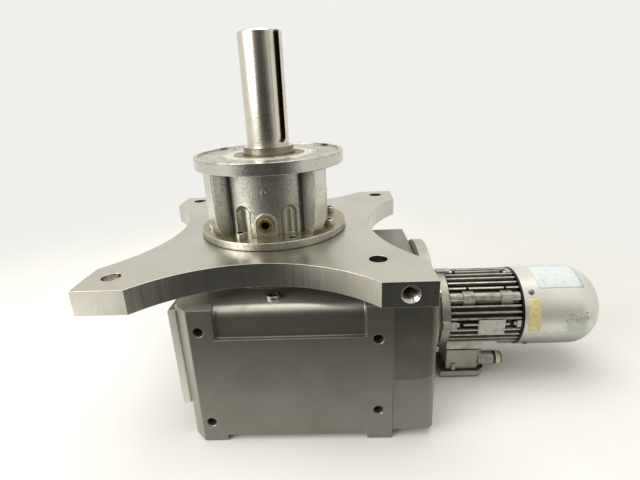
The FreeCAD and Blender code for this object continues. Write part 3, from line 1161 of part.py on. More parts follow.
pieces["terminal_box"] = cut("terminal_box", box_cast, box_hollow, box_wires, outlet_bore, *lid_threads)
block_start = box_start + S.block_inset
pieces["terminal_block"] = between(
    "terminal_block", along_motor(block_start, -S.block_width / 2, ceiling - S.block_height),
    along_motor(block_start + S.block_length, S.block_width / 2, ceiling))
lid_start, lid_end = box_start - S.lid_lead, box_end + S.lid_lap
lid_half = S.box_half + S.lid_lip
lid_outline = [(lid_start, -lid_half), (lid_end - S.box_chamfer, -lid_half),
               (lid_end, S.box_chamfer - lid_half),
               (lid_end, lid_half), (lid_start, lid_half)]
gasket_low = box_low - S.gasket_thick
gasket_sheet = padded("gasket_sheet", lid_outline, gasket_low, S.gasket_thick)
gasket_window = between("gasket_window", (box_start + 8, 8 - S.box_half, gasket_low),
                        (box_end - S.box_chamfer - 8, S.box_half - 8, box_low))
gasket_holes = [cylinder("gasket_hole_%d" % number, m4 + 0.4, S.gasket_thick, (x, y, gasket_low))
                for number, (x, y) in enumerate(lid_places)]
seat_gasket = cut(
    "seat_gasket",
    between("seat_gasket_sheet", along_motor(box_start + 2, 3 - S.box_half, box_top),
            along_motor(box_end - S.box_chamfer - 2, S.box_half - 3, seat_low)),
    cylinder("seat_gasket_hole", S.wire_hole, S.gasket_thick, along_motor(wire_place, 0, box_top)))
pieces["box_gaskets"] = group("box_gaskets", cut("lid_gasket", gasket_sheet, gasket_window, *gasket_holes),
                              seat_gasket)
lid_low = gasket_low - S.lid_thick
lid_block = padded("lid_block", lid_outline, lid_low, S.lid_thick)
lid_sink = as_size(5)
lid_holes = []
for number, (x, y) in enumerate(lid_places):
    lid_holes.append(cylinder("lid_hole_%d" % number, m4 + 0.4, S.lid_thick, (x, y, lid_low)))
    lid_holes.append(cylinder("lid_sink_%d" % number, m4 * 2 + 0.4, lid_sink, (x, y, lid_low)))
pieces["terminal_lid"] = cut("terminal_lid", lid_block, *lid_holes)
lid_screw_length = S.lid_thick - lid_sink + S.gasket_thick + screw_boss
pieces["lid_screws"] = group("lid_screws", *[
    socket_screw("lid_screw_%d" % number, m4, lid_screw_length, (x, y, lid_low + lid_sink), "-Z", m4 * 2,
                 as_size(4))
    for number, (x, y) in enumerate(lid_places)])
outlet_end = along_motor(outlet_face, -S.outlet_side, outlet_level)
pieces["outlet_ring"] = ring("outlet_ring", S.outlet_bore + S.fit_gap, S.outlet_radius - 0.5, S.ring_thick,
                             outlet_end, "X")
plug_end = S.ring_thick + S.blanking_reach
pieces["blanking_plug"] = turned("blanking_plug", [
    (0, -10), (S.outlet_bore, -10), (S.outlet_bore, S.ring_thick), (S.outlet_radius - 1, S.ring_thick),
    (S.outlet_radius - 1, S.ring_thick + 7), (S.outlet_radius - 2, S.ring_thick + 8),
    (S.outlet_radius - 2, plug_end - 1.5), (S.outlet_radius - 4, plug_end), (0, plug_end)], outlet_end, "X")

doc.recompute()
for item in doc.Objects:
    if "Invalid" in item.State or "Error" in item.State:
        raise RuntimeError("%s did not build: %s" % (item.Name, item.State))
os.makedirs("parts", exist_ok=True)
for node, item in pieces.items():
    item.Label = node
    if item.Shape.isNull() or not item.Shape.isValid():
        raise RuntimeError("%s has no valid shape" % node)
    item.Shape.exportStep("parts/%s.step" % node)
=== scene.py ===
import math

import bmesh
import bpy
from mathutils import Euler, Matrix, Vector
from mathutils.bvhtree import BVHTree


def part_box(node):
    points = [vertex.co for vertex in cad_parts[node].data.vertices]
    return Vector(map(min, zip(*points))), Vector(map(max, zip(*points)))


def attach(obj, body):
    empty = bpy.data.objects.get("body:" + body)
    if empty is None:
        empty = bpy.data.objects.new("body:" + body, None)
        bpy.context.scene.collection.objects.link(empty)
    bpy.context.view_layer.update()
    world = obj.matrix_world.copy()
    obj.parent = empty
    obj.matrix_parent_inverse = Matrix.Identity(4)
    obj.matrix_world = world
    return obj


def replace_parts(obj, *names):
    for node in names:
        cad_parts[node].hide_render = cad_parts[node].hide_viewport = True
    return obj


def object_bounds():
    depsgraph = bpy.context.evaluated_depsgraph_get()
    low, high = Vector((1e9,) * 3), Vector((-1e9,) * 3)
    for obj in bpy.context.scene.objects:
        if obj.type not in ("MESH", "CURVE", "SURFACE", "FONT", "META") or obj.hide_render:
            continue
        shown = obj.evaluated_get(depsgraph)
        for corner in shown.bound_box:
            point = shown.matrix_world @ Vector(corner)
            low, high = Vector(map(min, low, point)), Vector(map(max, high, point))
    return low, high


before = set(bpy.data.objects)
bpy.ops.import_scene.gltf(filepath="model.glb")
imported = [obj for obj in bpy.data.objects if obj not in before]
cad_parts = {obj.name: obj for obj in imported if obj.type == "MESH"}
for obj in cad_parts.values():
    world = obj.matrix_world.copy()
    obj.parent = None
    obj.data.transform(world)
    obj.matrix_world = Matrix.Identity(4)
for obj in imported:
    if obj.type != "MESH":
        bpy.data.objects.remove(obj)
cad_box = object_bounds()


# Camera. It stands in front of the machined face, at the height of the output shaft, and looks down a little
# through a wide lens, so the plate's front corners come out much larger than the motor behind them.
CAMERA_PLACE, CAMERA_DEGREES = (0.1084, -0.7252, 0.0942), (70.5, 2.5115, 1.4087)
camera = bpy.data.objects.new("camera", bpy.data.cameras.new("camera"))
camera.data.sensor_width = 36
camera.data.lens = 23.87
camera_turn = Euler([math.radians(angle) for angle in CAMERA_DEGREES])
camera.matrix_world = Matrix.LocRotScale(Vector(CAMERA_PLACE), camera_turn, None)
bpy.context.scene.collection.objects.link(camera)
bpy.context.scene.camera = camera
bpy.context.scene.view_settings.view_transform = "Standard"


# Floor: a sheet of pale matt paper under the foot rails. It thins out into the white of the backdrop, and for
# all rays but the camera's it is painted dark towards the front and right, a painted shade of the dark room in
# front of it, so that the metal reflects it darker.
FLOOR_RADIUS, FLOOR_MIDDLE, FLOOR_GAP = 2.6, 0.1, 0.0004
PAPER_FADES = (0.75, 1.7)
DARK_TO_THE_FRONT, DARK_TO_THE_RIGHT = (-0.12, -0.58), (-0.6, -0.25)


def linear(code):
    """A colour's sRGB hex value as linear red, green, blue and alpha."""
    parts = [int(code[place:place + 2], 16) / 255 for place in (1, 3, 5)]
    return [part / 12.92 if part <= 0.04045 else ((part + 0.055) / 1.055) ** 2.4 for part in parts] + [1]


def repeats(millimetres):
    """A pattern's scale on a piece measured in metres, from the pattern's own size."""
    return 1000 / millimetres


def add(tree, kind, settings=None, links=None):
    """Adds a node with its settings, which are options or values of its sockets, and the links into it."""
    node = tree.nodes.new("ShaderNode" + kind)
    for name, value in (settings or {}).items():
        if isinstance(name, int) or name[0].isupper():
            node.inputs[name].default_value = value
        else:
            setattr(node, name, value)
    for name, source in (links or {}).items():
        tree.links.new(source, node.inputs[name])
    return node


def surface(name, colour, metallic, roughness):
    """A new material, with its tree, its shader and the place on the piece that its patterns follow."""
    material = bpy.data.materials.new(name)
    material.use_nodes = True
    tree = material.node_tree
    shader = tree.nodes["Principled BSDF"]
    shader.inputs["Base Color"].default_value = linear(colour)
    shader.inputs["Metallic"].default_value = metallic
    shader.inputs["Roughness"].default_value = roughness
    return material, tree, shader, add(tree, "TexCoord").outputs["Object"]


def lay(tree, shader, colour, mask):
    """Lays a colour over a finish, as far as the mask says."""
    socket = shader.inputs["Base Color"]
    coat = add(tree, "Mix", {"data_type": "RGBA", 6: socket.default_value, 7: linear(colour)}, {0: mask})
    if socket.is_linked:
        tree.links.new(socket.links[0].from_socket, coat.inputs[6])
    tree.links.new(coat.outputs[2], socket)


def mottle(tree, place, size_mm, low, high, most=1.0):
    """A mask of soft patches of about one size. The higher low and high are, the fewer patches there are."""
    noise = add(tree, "TexNoise", {"Scale": repeats(size_mm), "Detail": 4}, {"Vector": place}).outputs[0]
    return add(tree, "MapRange", {"From Min": low, "From Max": high, "To Max": most},
               {"Value": noise}).outputs[0]


def eased(tree, value, start, end, most=1.0):
    """A mask that rises smoothly from nothing where a value is start to most where it is end."""
    return add(tree, "MapRange", {"From Min": start, "From Max": end, "To Max": most,
                                  "interpolation_type": "SMOOTHSTEP"}, {"Value": value}).outputs[0]


def both(tree, *masks):
    """The places that all of these masks share."""
    shared = masks[0]
    for mask in masks[1:]:
        shared = add(tree, "Math", {"operation": "MULTIPLY"}, {0: shared, 1: mask}).outputs[0]
    return shared


floor_shape = bmesh.new()
bmesh.ops.create_circle(floor_shape, cap_ends=True, radius=FLOOR_RADIUS, segments=96,
                        matrix=Matrix.Translation((FLOOR_MIDDLE, 0, cad_box[0].z - FLOOR_GAP)))
floor_mesh = bpy.data.meshes.new("paper_floor")
floor_shape.to_mesh(floor_mesh)
floor = bpy.data.objects.new("paper_floor", floor_mesh)
bpy.context.scene.collection.objects.link(floor)
paper, tree, shader, place = surface("matt_paper", "#ecebe5", metallic=0, roughness=0.9)
lay(tree, shader, "#e4e2da", mottle(tree, place, 180, 0.4, 0.7, 0.4))
seen = add(tree, "LightPath").outputs["Is Camera Ray"]
unseen = add(tree, "Math", {"operation": "SUBTRACT", 0: 1.0}, {1: seen}).outputs[0]
across, ahead = add(tree, "SeparateXYZ", links={0: place}).outputs[:2]
# Painted shade: for all rays but the camera's, the paper is painted near black towards the front and right.
lay(tree, shader, "#161513", both(tree, eased(tree, ahead, *DARK_TO_THE_FRONT, 0.97),
                                  eased(tree, across, *DARK_TO_THE_RIGHT), unseen))
reach = add(tree, "VectorMath", {"operation": "LENGTH"}, {0: place}).outputs["Value"]
clear = add(tree, "BsdfTransparent").outputs[0]
sheet = add(tree, "MixShader", links={0: eased(tree, reach, *PAPER_FADES), 1: shader.outputs[0], 2: clear})
tree.links.new(sheet.outputs[0], tree.nodes["Material Output"].inputs["Surface"])
floor_mesh.materials.append(paper)


# Studio: white walls all round, open towards a dark room in front, one wide soft lamp at the left front and
# one overhead. The camera sees the walls as an even pale backdrop.
ROOM_DIRECTION, ROOM_EDGES = (0.03, -0.96, -0.25), (0.5, 0.93)
LAMPS_AIM = Vector((0.05, 0, -0.15))
world = bpy.data.worlds.new("white_walls")
bpy.context.scene.world = world
world.use_nodes = True
tree = world.node_tree
path = add(tree, "LightPath").outputs
seen = path["Is Camera Ray"]
direction = add(tree, "TexCoord").outputs["Generated"]
ahead = add(tree, "VectorMath", {"operation": "DOT_PRODUCT", 1: ROOM_DIRECTION},
            {0: direction}).outputs["Value"]
walls = add(tree, "Mix", {"data_type": "RGBA", 6: linear("#f4f3ee"), 7: linear("#3b3934")},
            {0: eased(tree, ahead, *ROOM_EDGES)}).outputs[2]
shown = add(tree, "Mix", {"data_type": "RGBA", 7: linear("#f0efeb")}, {0: seen, 6: walls}).outputs[2]
mirrored = seen
for ray in ("Is Glossy Ray", "Is Transmission Ray"):
    mirrored = add(tree, "Math", {"operation": "MAXIMUM"}, {0: mirrored, 1: path[ray]}).outputs[0]
strength = add(tree, "MapRange", {"To Min": 0.75, "To Max": 1.0}, {"Value": mirrored}).outputs[0]
tree.links.new(shown, tree.nodes["Background"].inputs["Color"])
tree.links.new(strength, tree.nodes["Background"].inputs["Strength"])

for name, spot, width, height, power in (
        ("left_softbox", (-1.7, -1.25, 0.75), 1.6, 1.4, 37), ("top_softbox", (0.15, 0.1, 1.7), 2.0, 1.6, 23)):
    lamp = bpy.data.objects.new(name, bpy.data.lights.new(name, "AREA"))
    lamp.data.shape = "RECTANGLE"
    lamp.data.size, lamp.data.size_y = width, height
    lamp.data.energy = power
    lamp.location = spot
    lamp.rotation_mode = "QUATERNION"
    lamp.rotation_quaternion = (LAMPS_AIM - Vector(spot)).to_track_quat("-Z", "Y")
    bpy.context.scene.collection.objects.link(lamp)


# Output shaft: a turned and ground steel shaft with an open keyway cut to its tip. The grinding rings, drawn
# 0.7 mm apart, coarser than real, so that they show, lie under a thin warm film of oil. The keyway's walls and
# corners are painted darker, a painted shade, and the collar at the shaft's foot is painted duller, a painted
# dark reflection.
GRINDING_MM, GRINDING_DEPTH = 0.7, 0.00001
KEYWAY_FOOT, KEYWAY_END, KEYWAY_WALLS = 0.014, 0.0025, (0.0278, 0.0345)
COLLAR_HEIGHT, COLLAR_WALL = (-0.01, 0.0098), (0.0355, 0.05)


def dress(material, *nodes):
    """Puts a finish on CAD nodes that show as they are."""
    for node in nodes:
        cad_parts[node].data.materials.clear()
        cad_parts[node].data.materials.append(material)


def from_axis(tree, place, across=(1, 1, 0), centre=(0, 0, 0)):
    """How far a place is from an axis through centre. It is upright, unless across says otherwise."""
    offset = add(tree, "VectorMath", {"operation": "SUBTRACT", 1: centre}, {0: place}).outputs[0]
    flat = add(tree, "VectorMath", {"operation": "MULTIPLY", 1: across}, {0: offset}).outputs[0]
    return add(tree, "VectorMath", {"operation": "LENGTH"}, {0: flat}).outputs["Value"]


def span(tree, value, low, high, soft=0.0004):
    """A mask of the places where a value lies between low and high, with soft ends."""
    starts = add(tree, "MapRange", {"From Min": low - soft, "From Max": low + soft}, {"Value": value})
    stops = add(tree, "MapRange", {"From Min": high + soft, "From Max": high - soft}, {"Value": value})
    return both(tree, starts.outputs[0], stops.outputs[0])


def uneven(tree, shader, pattern, smooth, rough):
    """Lets a finish change from smooth to rough with a pattern."""
    spread = add(tree, "MapRange", {"From Min": 0.3, "From Max": 0.7, "To Min": smooth, "To Max": rough},
                 {"Value": pattern}).outputs[0]
    tree.links.new(spread, shader.inputs["Roughness"])


def ground_steel(name, colour, roughness, rings):
    """Bright steel with grinding rings square to its axis."""
    material, tree, shader, place = surface(name, colour, 1.0, roughness)
    along = add(tree, "VectorMath", {"operation": "MULTIPLY", 1: rings}, {0: place}).outputs[0]
    lines = add(tree, "TexNoise", {"Scale": repeats(GRINDING_MM), "Detail": 3}, {"Vector": along}).outputs[0]
    lay(tree, shader, "#8d8270", mottle(tree, place, 28, 0.5, 0.78, 0.25))
    uneven(tree, shader, lines, roughness - 0.04, roughness + 0.06)
    grooves = add(tree, "Bump", {"Strength": 0.25, "Distance": GRINDING_DEPTH}, {"Height": lines}).outputs[0]
    tree.links.new(grooves, shader.inputs["Normal"])
    return material, tree, shader, place


shaft_steel, tree, shader, place = ground_steel(
    "ground_steel", "#d5cfc2", roughness=0.25, rings=(0.02, 0.02, 1))
shaft_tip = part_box("output_shaft")[1].z
radius = from_axis(tree, place)
height = add(tree, "SeparateXYZ", links={0: place}).outputs[2]
# Painted shade: the keyway's walls and corners are painted darker.
keyway = both(tree, span(tree, radius, *KEYWAY_WALLS, 0.0001),
              span(tree, height, KEYWAY_FOOT, shaft_tip - KEYWAY_END))
lay(tree, shader, "#6a5c49", both(tree, keyway, mottle(tree, place, 9, 0.2, 0.35, 0.97)))
# Painted reflection: the collar's side is painted darker, as if it mirrored the dark room in front.
collar = both(tree, span(tree, radius, *COLLAR_WALL), span(tree, height, *COLLAR_HEIGHT, 0.0002))
lay(tree, shader, "#877f6f", both(tree, collar, mottle(tree, place, 20, 0.0, 0.3, 0.85)))
dress(shaft_steel, "output_shaft", "output_spacers", "output_wheel_key")


# Gears and gear shafts: case-hardened steel, hobbed and oiled. They run closed in, and the oil leaves them
# a dark, clouded shine.
gear_steel, tree, shader, place = surface("hardened_gear_steel", "#8c8a86", metallic=1.0, roughness=0.3)
lay(tree, shader, "#6a655c", mottle(tree, place, 12, 0.4, 0.7))
dress(gear_steel, "output_wheel", "intermediate_shaft", "bevel_wheel", "bevel_pinion_shaft", "input_wheel",
      "motor_pinion")


# Ball bearings: chrome steel rings, hardened, ground and polished, seated on the shafts and in the housing.
# They are bright, with a polish that differs from patch to patch.
POLISH_MM = 6
bearing_steel, tree, shader, place = surface("bearing_steel", "#c9c9c6", metallic=1.0, roughness=0.16)
polish = add(tree, "TexNoise", {"Scale": repeats(POLISH_MM), "Detail": 3}, {"Vector": place}).outputs[0]
tree.links.new(add(tree, "MapRange", {"To Min": 0.1, "To Max": 0.24}, {"Value": polish}).outputs[0],
               shader.inputs["Roughness"])
dress(bearing_steel, *[shaft + "_bearing_%s_rings" % side
                       for shaft in ("output", "intermediate", "pinion", "rotor")
                       for side in ("inner", "outer")])


# Bearing lantern: one iron casting of two flanges, a drum and four ribs, sprayed silver and screwed to the
# plate. The mould's sand leaves a sparkling grain, drawn coarser than real so that it shows. Rims and ribs are
# turned smooth outside, an olive film of old oil lies on the foot, and dirt and rust lie on the upper face.
TURNED_SKIN, TURNED_HEIGHT, RIB_HEIGHT = (0.1195, 0.13), (-0.1185, 0.01), (-0.1185, -0.0195)
UPPER_FACE, UPPER_RIM = (-0.0036, 0.0006), (-0.0195, -0.001)
FOOT_RIM, FOOT_RIM_HEIGHT = (0.1225, 0.13), (-0.135, -0.1235)
FOOT_FILM, FOOT_FACE = (0.09, 0.1243), (-0.1235, -0.1185)
DRUM_RADIUS, DRUM_SKIN, DRUM_HEIGHT = 0.095, (0.09, 0.0972), (-0.12, -0.0192)
RIBS, FIRST_RIB, BESIDE_RIB, DARK_CORNER = 4, 45, 9, 0.0045
FOOT_CIRCLE, FOOT_HOLES, FIRST_FOOT_HOLE, FOOT_HOLE = 0.106, 8, 22.5, 0.0054
FLANGE_CIRCLE, FLANGE_HOLES, FIRST_FLANGE_HOLE, FLANGE_HOLE = 0.1075, 4, 45, 0.0053
FOOT_BORE, FLANGE_BORE = (-0.15, -0.1214), (-0.035, -0.0033)
RUST_STAINS, RUST_RADIUS = ((0.093, 0.072, 0), (-0.096, 0.074, 0)), 0.009
SEAM, SHARPEST_SEAM = 0.00002, math.radians(0.7)
EDGE_FROM, NARROW_CORNER, SHADED_SHARP = 30, math.radians(40), math.radians(44)
LEAST_WIDTH_MM, SHARE_OF_GAP, CROSSING_COSINE = 0.05, 0.4, 0.8
TRIES, STRAY_SHARE, RELAXED_REACH = 4, 0.75, 0.002


def inside(tree, distance, limit, soft=0.0003):
    """A mask of the places nearer than a limit, with a soft edge."""
    return add(tree, "MapRange", {"From Min": limit + soft, "From Max": limit - soft},
               {"Value": distance}).outputs[0]


def nearest_axis(tree, place, circle, count, first_degrees):
    """How far a place is from the nearest of the upright axes that are spaced evenly on a circle."""
    x, y = add(tree, "SeparateXYZ", links={0: place}).outputs[:2]
    turn = add(tree, "Math", {"operation": "ARCTAN2"}, {0: y, 1: x}).outputs[0]
    turn = add(tree, "Math", {"operation": "SUBTRACT", 1: math.radians(first_degrees)}, {0: turn}).outputs[0]
    half_way = math.pi / count
    turn = add(tree, "Math", {"operation": "WRAP", 1: half_way, 2: -half_way}, {0: turn}).outputs[0]
    cosine = add(tree, "Math", {"operation": "COSINE"}, {0: turn}).outputs[0]
    sine = add(tree, "Math", {"operation": "SINE"}, {0: turn}).outputs[0]
    direction = add(tree, "CombineXYZ", links={0: cosine, 1: sine}).outputs[0]
    flat = add(tree, "VectorMath", {"operation": "SCALE"}, {0: direction, "Scale": from_axis(tree, place)})
    return from_axis(tree, flat.outputs[0], centre=(circle, 0, 0))


def dirt_and_shade(tree, shader, colour, reach_mm, most):
    """Darkens the corners, sockets and holes that light and air reach least, with dirt and painted shade."""
    unoccluded = add(tree, "AmbientOcclusion", {"samples": 6, "Distance": reach_mm / 1000}).outputs["AO"]
    lay(tree, shader, colour, add(tree, "MapRange", {"From Min": 0.7, "From Max": 0.25, "To Max": most},
                                  {"Value": unoccluded}).outputs[0])


def roughen(tree, shader, mask, change):
    """Adds a change to the roughness of a finish, as far as the mask says."""
    socket = shader.inputs["Roughness"]
    before = socket.links[0].from_socket
    changed = add(tree, "Math", {"operation": "MULTIPLY_ADD", 1: change}, {0: mask, 2: before}).outputs[0]
    tree.links.new(changed, socket)


def cast_paint(name, colour, shade, metallic, roughness, sand_mm, depth_mm):
    """Metallic lacquer, clouded and sparkling, over a grain of sand that is drawn coarser than real."""
    material, tree, shader, place = surface(name, colour, metallic, roughness)
    lay(tree, shader, shade, mottle(tree, place, 60, 0.42, 0.66))
    lay(tree, shader, "#e4e2d8", mottle(tree, place, 1.5, 0.64, 0.76, min(0.5, 4 * depth_mm)))
    sand = add(tree, "TexNoise", {"Scale": repeats(sand_mm), "Detail": 3, "Roughness": 0.6},
               {"Vector": place}).outputs[0]
    uneven(tree, shader, sand, roughness - 0.06, roughness + 0.1)
    grain = add(tree, "Bump", {"Strength": 1.0, "Distance": depth_mm / 1000}, {"Height": sand}).outputs[0]
    tree.links.new(grain, shader.inputs["Normal"])
    return material, tree, shader, place


def shaped(name, shape, material):
    """A piece with a shape of its own, fixed to the housing."""
    mesh = bpy.data.meshes.new(name)
    shape.to_mesh(mesh)
    mesh.materials.append(material)
    piece = bpy.data.objects.new(name, mesh)
    bpy.context.scene.collection.objects.link(piece)
    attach(piece, "housing")
    return piece


def joined_shape(name, nodes):
    """CAD nodes as one shape, without the seams that split its flat faces."""
    joined = bpy.data.objects.new(name + "_plain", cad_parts[nodes[0]].data.copy())
    bpy.context.scene.collection.objects.link(joined)
    for node in nodes[1:]:
        join = joined.modifiers.new(node, "BOOLEAN")
        join.operation = "UNION"
        join.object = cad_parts[node]
    shape = bmesh.new()
    shape.from_object(joined, bpy.context.evaluated_depsgraph_get())
    bpy.data.objects.remove(joined)
    bmesh.ops.remove_doubles(shape, verts=shape.verts, dist=SEAM)
    bmesh.ops.dissolve_limit(shape, angle_limit=SHARPEST_SEAM, verts=shape.verts, edges=shape.edges)
    for face in shape.faces:
        face.smooth = True
    return shape


def weigh_edges(shape, edge_mm, fillet_mm):
    """Notes how far each edge is rounded: less on narrow faces, and not at all in a narrow corner."""
    weight = shape.edges.layers.float.new("bevel_weight_edge")
    for edge in shape.edges:
        turn = math.degrees(edge.calc_face_angle_signed(0))
        if abs(turn) < EDGE_FROM:
            continue
        way = (edge.verts[1].co - edge.verts[0].co).normalized()
        gaps = [other.calc_length() for face in edge.link_faces for other in face.edges
                if other is not edge and set(other.verts) & set(edge.verts)
                and abs((other.verts[1].co - other.verts[0].co).normalized() @ way) < CROSSING_COSINE]
        width = min([edge_mm if turn > 0 else fillet_mm] + [1000 * SHARE_OF_GAP * gap for gap in gaps])
        edge[weight] = width / max(edge_mm, fillet_mm) if width > LEAST_WIDTH_MM else 0
    for corner in [loop for face in shape.faces for loop in face.loops]:
        sides = corner.edge, corner.link_loop_prev.edge
        first, second = [side.other_vert(corner.vert).co - corner.vert.co for side in sides]
        if sides[0][weight] and sides[1][weight] and first.angle(second, math.pi) < NARROW_CORNER:
            sides[0][weight] = sides[1][weight] = 0
    return weight


def rounded(name, nodes, material, edge_mm, fillet_mm):
    """A piece in place of CAD nodes, with broken outer edges and filleted inner corners as in a casting."""
    shape = joined_shape(name, nodes)
    weight = weigh_edges(shape, edge_mm, fillet_mm)
    widest = max(edge_mm, fillet_mm) / 1000
    piece = shaped(name, shape, material)
    round_off = piece.modifiers.new("broken_edges", "BEVEL")
    round_off.limit_method = "WEIGHT"
    round_off.width = widest
    round_off.segments = 3
    round_off.use_clamp_overlap = False
    round_off.face_strength_mode = "FSTR_ALL"
    plain = BVHTree.FromBMesh(shape)
    for _ in range(TRIES):
        final = piece.evaluated_get(bpy.context.evaluated_depsgraph_get()).data
        nearest = [plain.find_nearest(vertex.co) for vertex in final.vertices]
        strays = [hit[0] for hit in nearest if hit[3] > STRAY_SHARE * widest]
        if not strays:
            break
        reach = RELAXED_REACH + widest
        for edge in shape.edges:
            if any((vert.co - stray).length < reach for vert in edge.verts for stray in strays):
                edge[weight] = 0
        shape.to_mesh(piece.data)
    shape = bmesh.new()
    shape.from_object(piece, bpy.context.evaluated_depsgraph_get())
    for edge in shape.edges:
        edge.smooth = edge.calc_face_angle(0) < SHADED_SHARP
    shape.to_mesh(piece.data)
    piece.modifiers.remove(round_off)
    shading = piece.modifiers.new("flat_faces_stay_flat", "WEIGHTED_NORMAL")
    shading.mode = "CORNER_ANGLE"
    shading.use_face_influence = True
    shading.keep_sharp = True
    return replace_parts(piece, *nodes)


silver_lacquer, tree, shader, place = cast_paint(
    "silver_lacquer_on_sand_casting", "#c9c7bd", "#bab8ad",
    metallic=0.93, roughness=0.32, sand_mm=4.0, depth_mm=0.45)
lay(tree, shader, "#8f8d83", mottle(tree, place, 4, 0.5, 0.66, 0.55))
radius = from_axis(tree, place)
height = add(tree, "SeparateXYZ", links={0: place}).outputs[2]
turned = both(tree, span(tree, radius, *TURNED_SKIN), span(tree, height, *TURNED_HEIGHT))
lay(tree, shader, "#d6d4ca", both(tree, turned, span(tree, height, *RIB_HEIGHT),
                                  mottle(tree, place, 30, 0.2, 0.5, 0.9)))
lay(tree, shader, "#c8c6bc", both(tree, turned, span(tree, height, *UPPER_RIM),
                                  mottle(tree, place, 30, 0.2, 0.5, 0.8)))
foot_rim = both(tree, span(tree, radius, *FOOT_RIM), span(tree, height, *FOOT_RIM_HEIGHT))
lay(tree, shader, "#8b897e", both(tree, foot_rim, mottle(tree, place, 30, 0.15, 0.55, 0.7)))
upper = span(tree, height, *UPPER_FACE)
smooth = add(tree, "Math", {"operation": "MAXIMUM"}, {0: turned, 1: upper}).outputs[0]
grain = shader.inputs["Normal"].links[0].from_node
tree.links.new(add(tree, "MapRange", {"To Min": 1.0, "To Max": 0.12}, {"Value": smooth}).outputs[0],
               grain.inputs["Strength"])
roughen(tree, shader, turned, change=-0.12)
foot_film = both(tree, span(tree, height, *FOOT_FACE), span(tree, radius, *FOOT_FILM))
lay(tree, shader, "#a39b76", both(tree, foot_film, mottle(tree, place, 14, 0.1, 0.35, 0.88)))
lay(tree, shader, "#9a907a", both(tree, upper, mottle(tree, place, 16, 0.48, 0.7, 0.8)))
lay(tree, shader, "#5e4128", both(tree, upper, mottle(tree, place, 7, 0.64, 0.7, 0.8)))
for stain in RUST_STAINS:
    stained = inside(tree, from_axis(tree, place, centre=stain), RUST_RADIUS, 0.003)
    lay(tree, shader, "#5b3a22", both(tree, upper, stained, mottle(tree, place, 5, 0.25, 0.5, 0.9)))
drum = both(tree, span(tree, radius, *DRUM_SKIN), span(tree, height, *DRUM_HEIGHT))
# Painted shade: a dark band on the drum beside each rib, where the drum meets it.
for beside_rib in (-BESIDE_RIB, BESIDE_RIB):
    corner_axis = nearest_axis(tree, place, DRUM_RADIUS, RIBS, FIRST_RIB + beside_rib)
    corner = inside(tree, corner_axis, DARK_CORNER, 0.0018)
    lay(tree, shader, "#3f3c34", both(tree, corner, drum, mottle(tree, place, 12, 0.0, 0.35, 0.85)))
# Dirt and painted shade in the corners.
dirt_and_shade(tree, shader, "#2e2a22", reach_mm=12, most=0.7)
# Painted shade: the screw holes in the foot and in the upper flange are painted near black inside.
hole_axis = nearest_axis(tree, place, FOOT_CIRCLE, FOOT_HOLES, FIRST_FOOT_HOLE)
lay(tree, shader, "#0f0d0a", both(tree, inside(tree, hole_axis, FOOT_HOLE),
                                  span(tree, height, *FOOT_BORE)))
hole_axis = nearest_axis(tree, place, FLANGE_CIRCLE, FLANGE_HOLES, FIRST_FLANGE_HOLE)
lay(tree, shader, "#0f0d0a", both(tree, inside(tree, hole_axis, FLANGE_HOLE),
                                  span(tree, height, *FLANGE_BORE)))
rounded("lantern_casting", ["bearing_lantern"], silver_lacquer,
        edge_mm=1.0, fillet_mm=1.2)


# Lantern fittings and other screws: cap screws in the lower flange, painted over with the casting, a brass
# plug in the boss and a small zinc-plated nipple above it. The other screws are blackened or zinc-plated
# steel. All sockets are darkened with dirt and painted shade, and the sockets of the cap screws and plugs
# are painted near black, a painted shade.
SPANGLE_MM = 3
SCREW_SOCKET, HOUSING_PLUG_SOCKET, OIL_PLUG_SOCKET, SOCKET_LIP = 0.0047, 0.0058, 0.0062, 0.0004
painted_screw, tree, shader, place = cast_paint(
    "silver_lacquer_on_screws", "#c4c2b8", "#a5a398",
    metallic=0.85, roughness=0.3, sand_mm=3.0, depth_mm=0.03)
# Dirt and painted shade in the sockets.
dirt_and_shade(tree, shader, "#14120e", reach_mm=5, most=0.97)
# Painted shade: the cap screws' sockets are painted near black.
screw_axis = nearest_axis(tree, place, FOOT_CIRCLE, FOOT_HOLES, FIRST_FOOT_HOLE)
lay(tree, shader, "#0c0b09", inside(tree, screw_axis, SCREW_SOCKET))
dress(painted_screw, "lantern_screws")
black_steel, tree, shader, place = surface("blackened_steel", "#6d6a63", metallic=1.0, roughness=0.4)
lay(tree, shader, "#94918a", mottle(tree, place, 7, 0.45, 0.7))
# Dirt and painted shade in the sockets.
dirt_and_shade(tree, shader, "#14120e", reach_mm=5, most=0.95)
dress(black_steel, "plate_screws", "fan_cover_screws", "brake_magnet", "brake_armature")
zinc, tree, shader, place = surface("zinc_plated_steel", "#c6c5bf", metallic=1.0, roughness=0.3)
spangle = add(tree, "TexVoronoi", {"Scale": repeats(SPANGLE_MM)}, {"Vector": place}).outputs["Color"]
darker = add(tree, "MapRange", {"From Min": 0.4, "From Max": 0.9}, {"Value": spangle}).outputs[0]
lay(tree, shader, "#9b998f", darker)
# Dirt and painted shade in the sockets.
dirt_and_shade(tree, shader, "#1a1712", reach_mm=5, most=0.95)
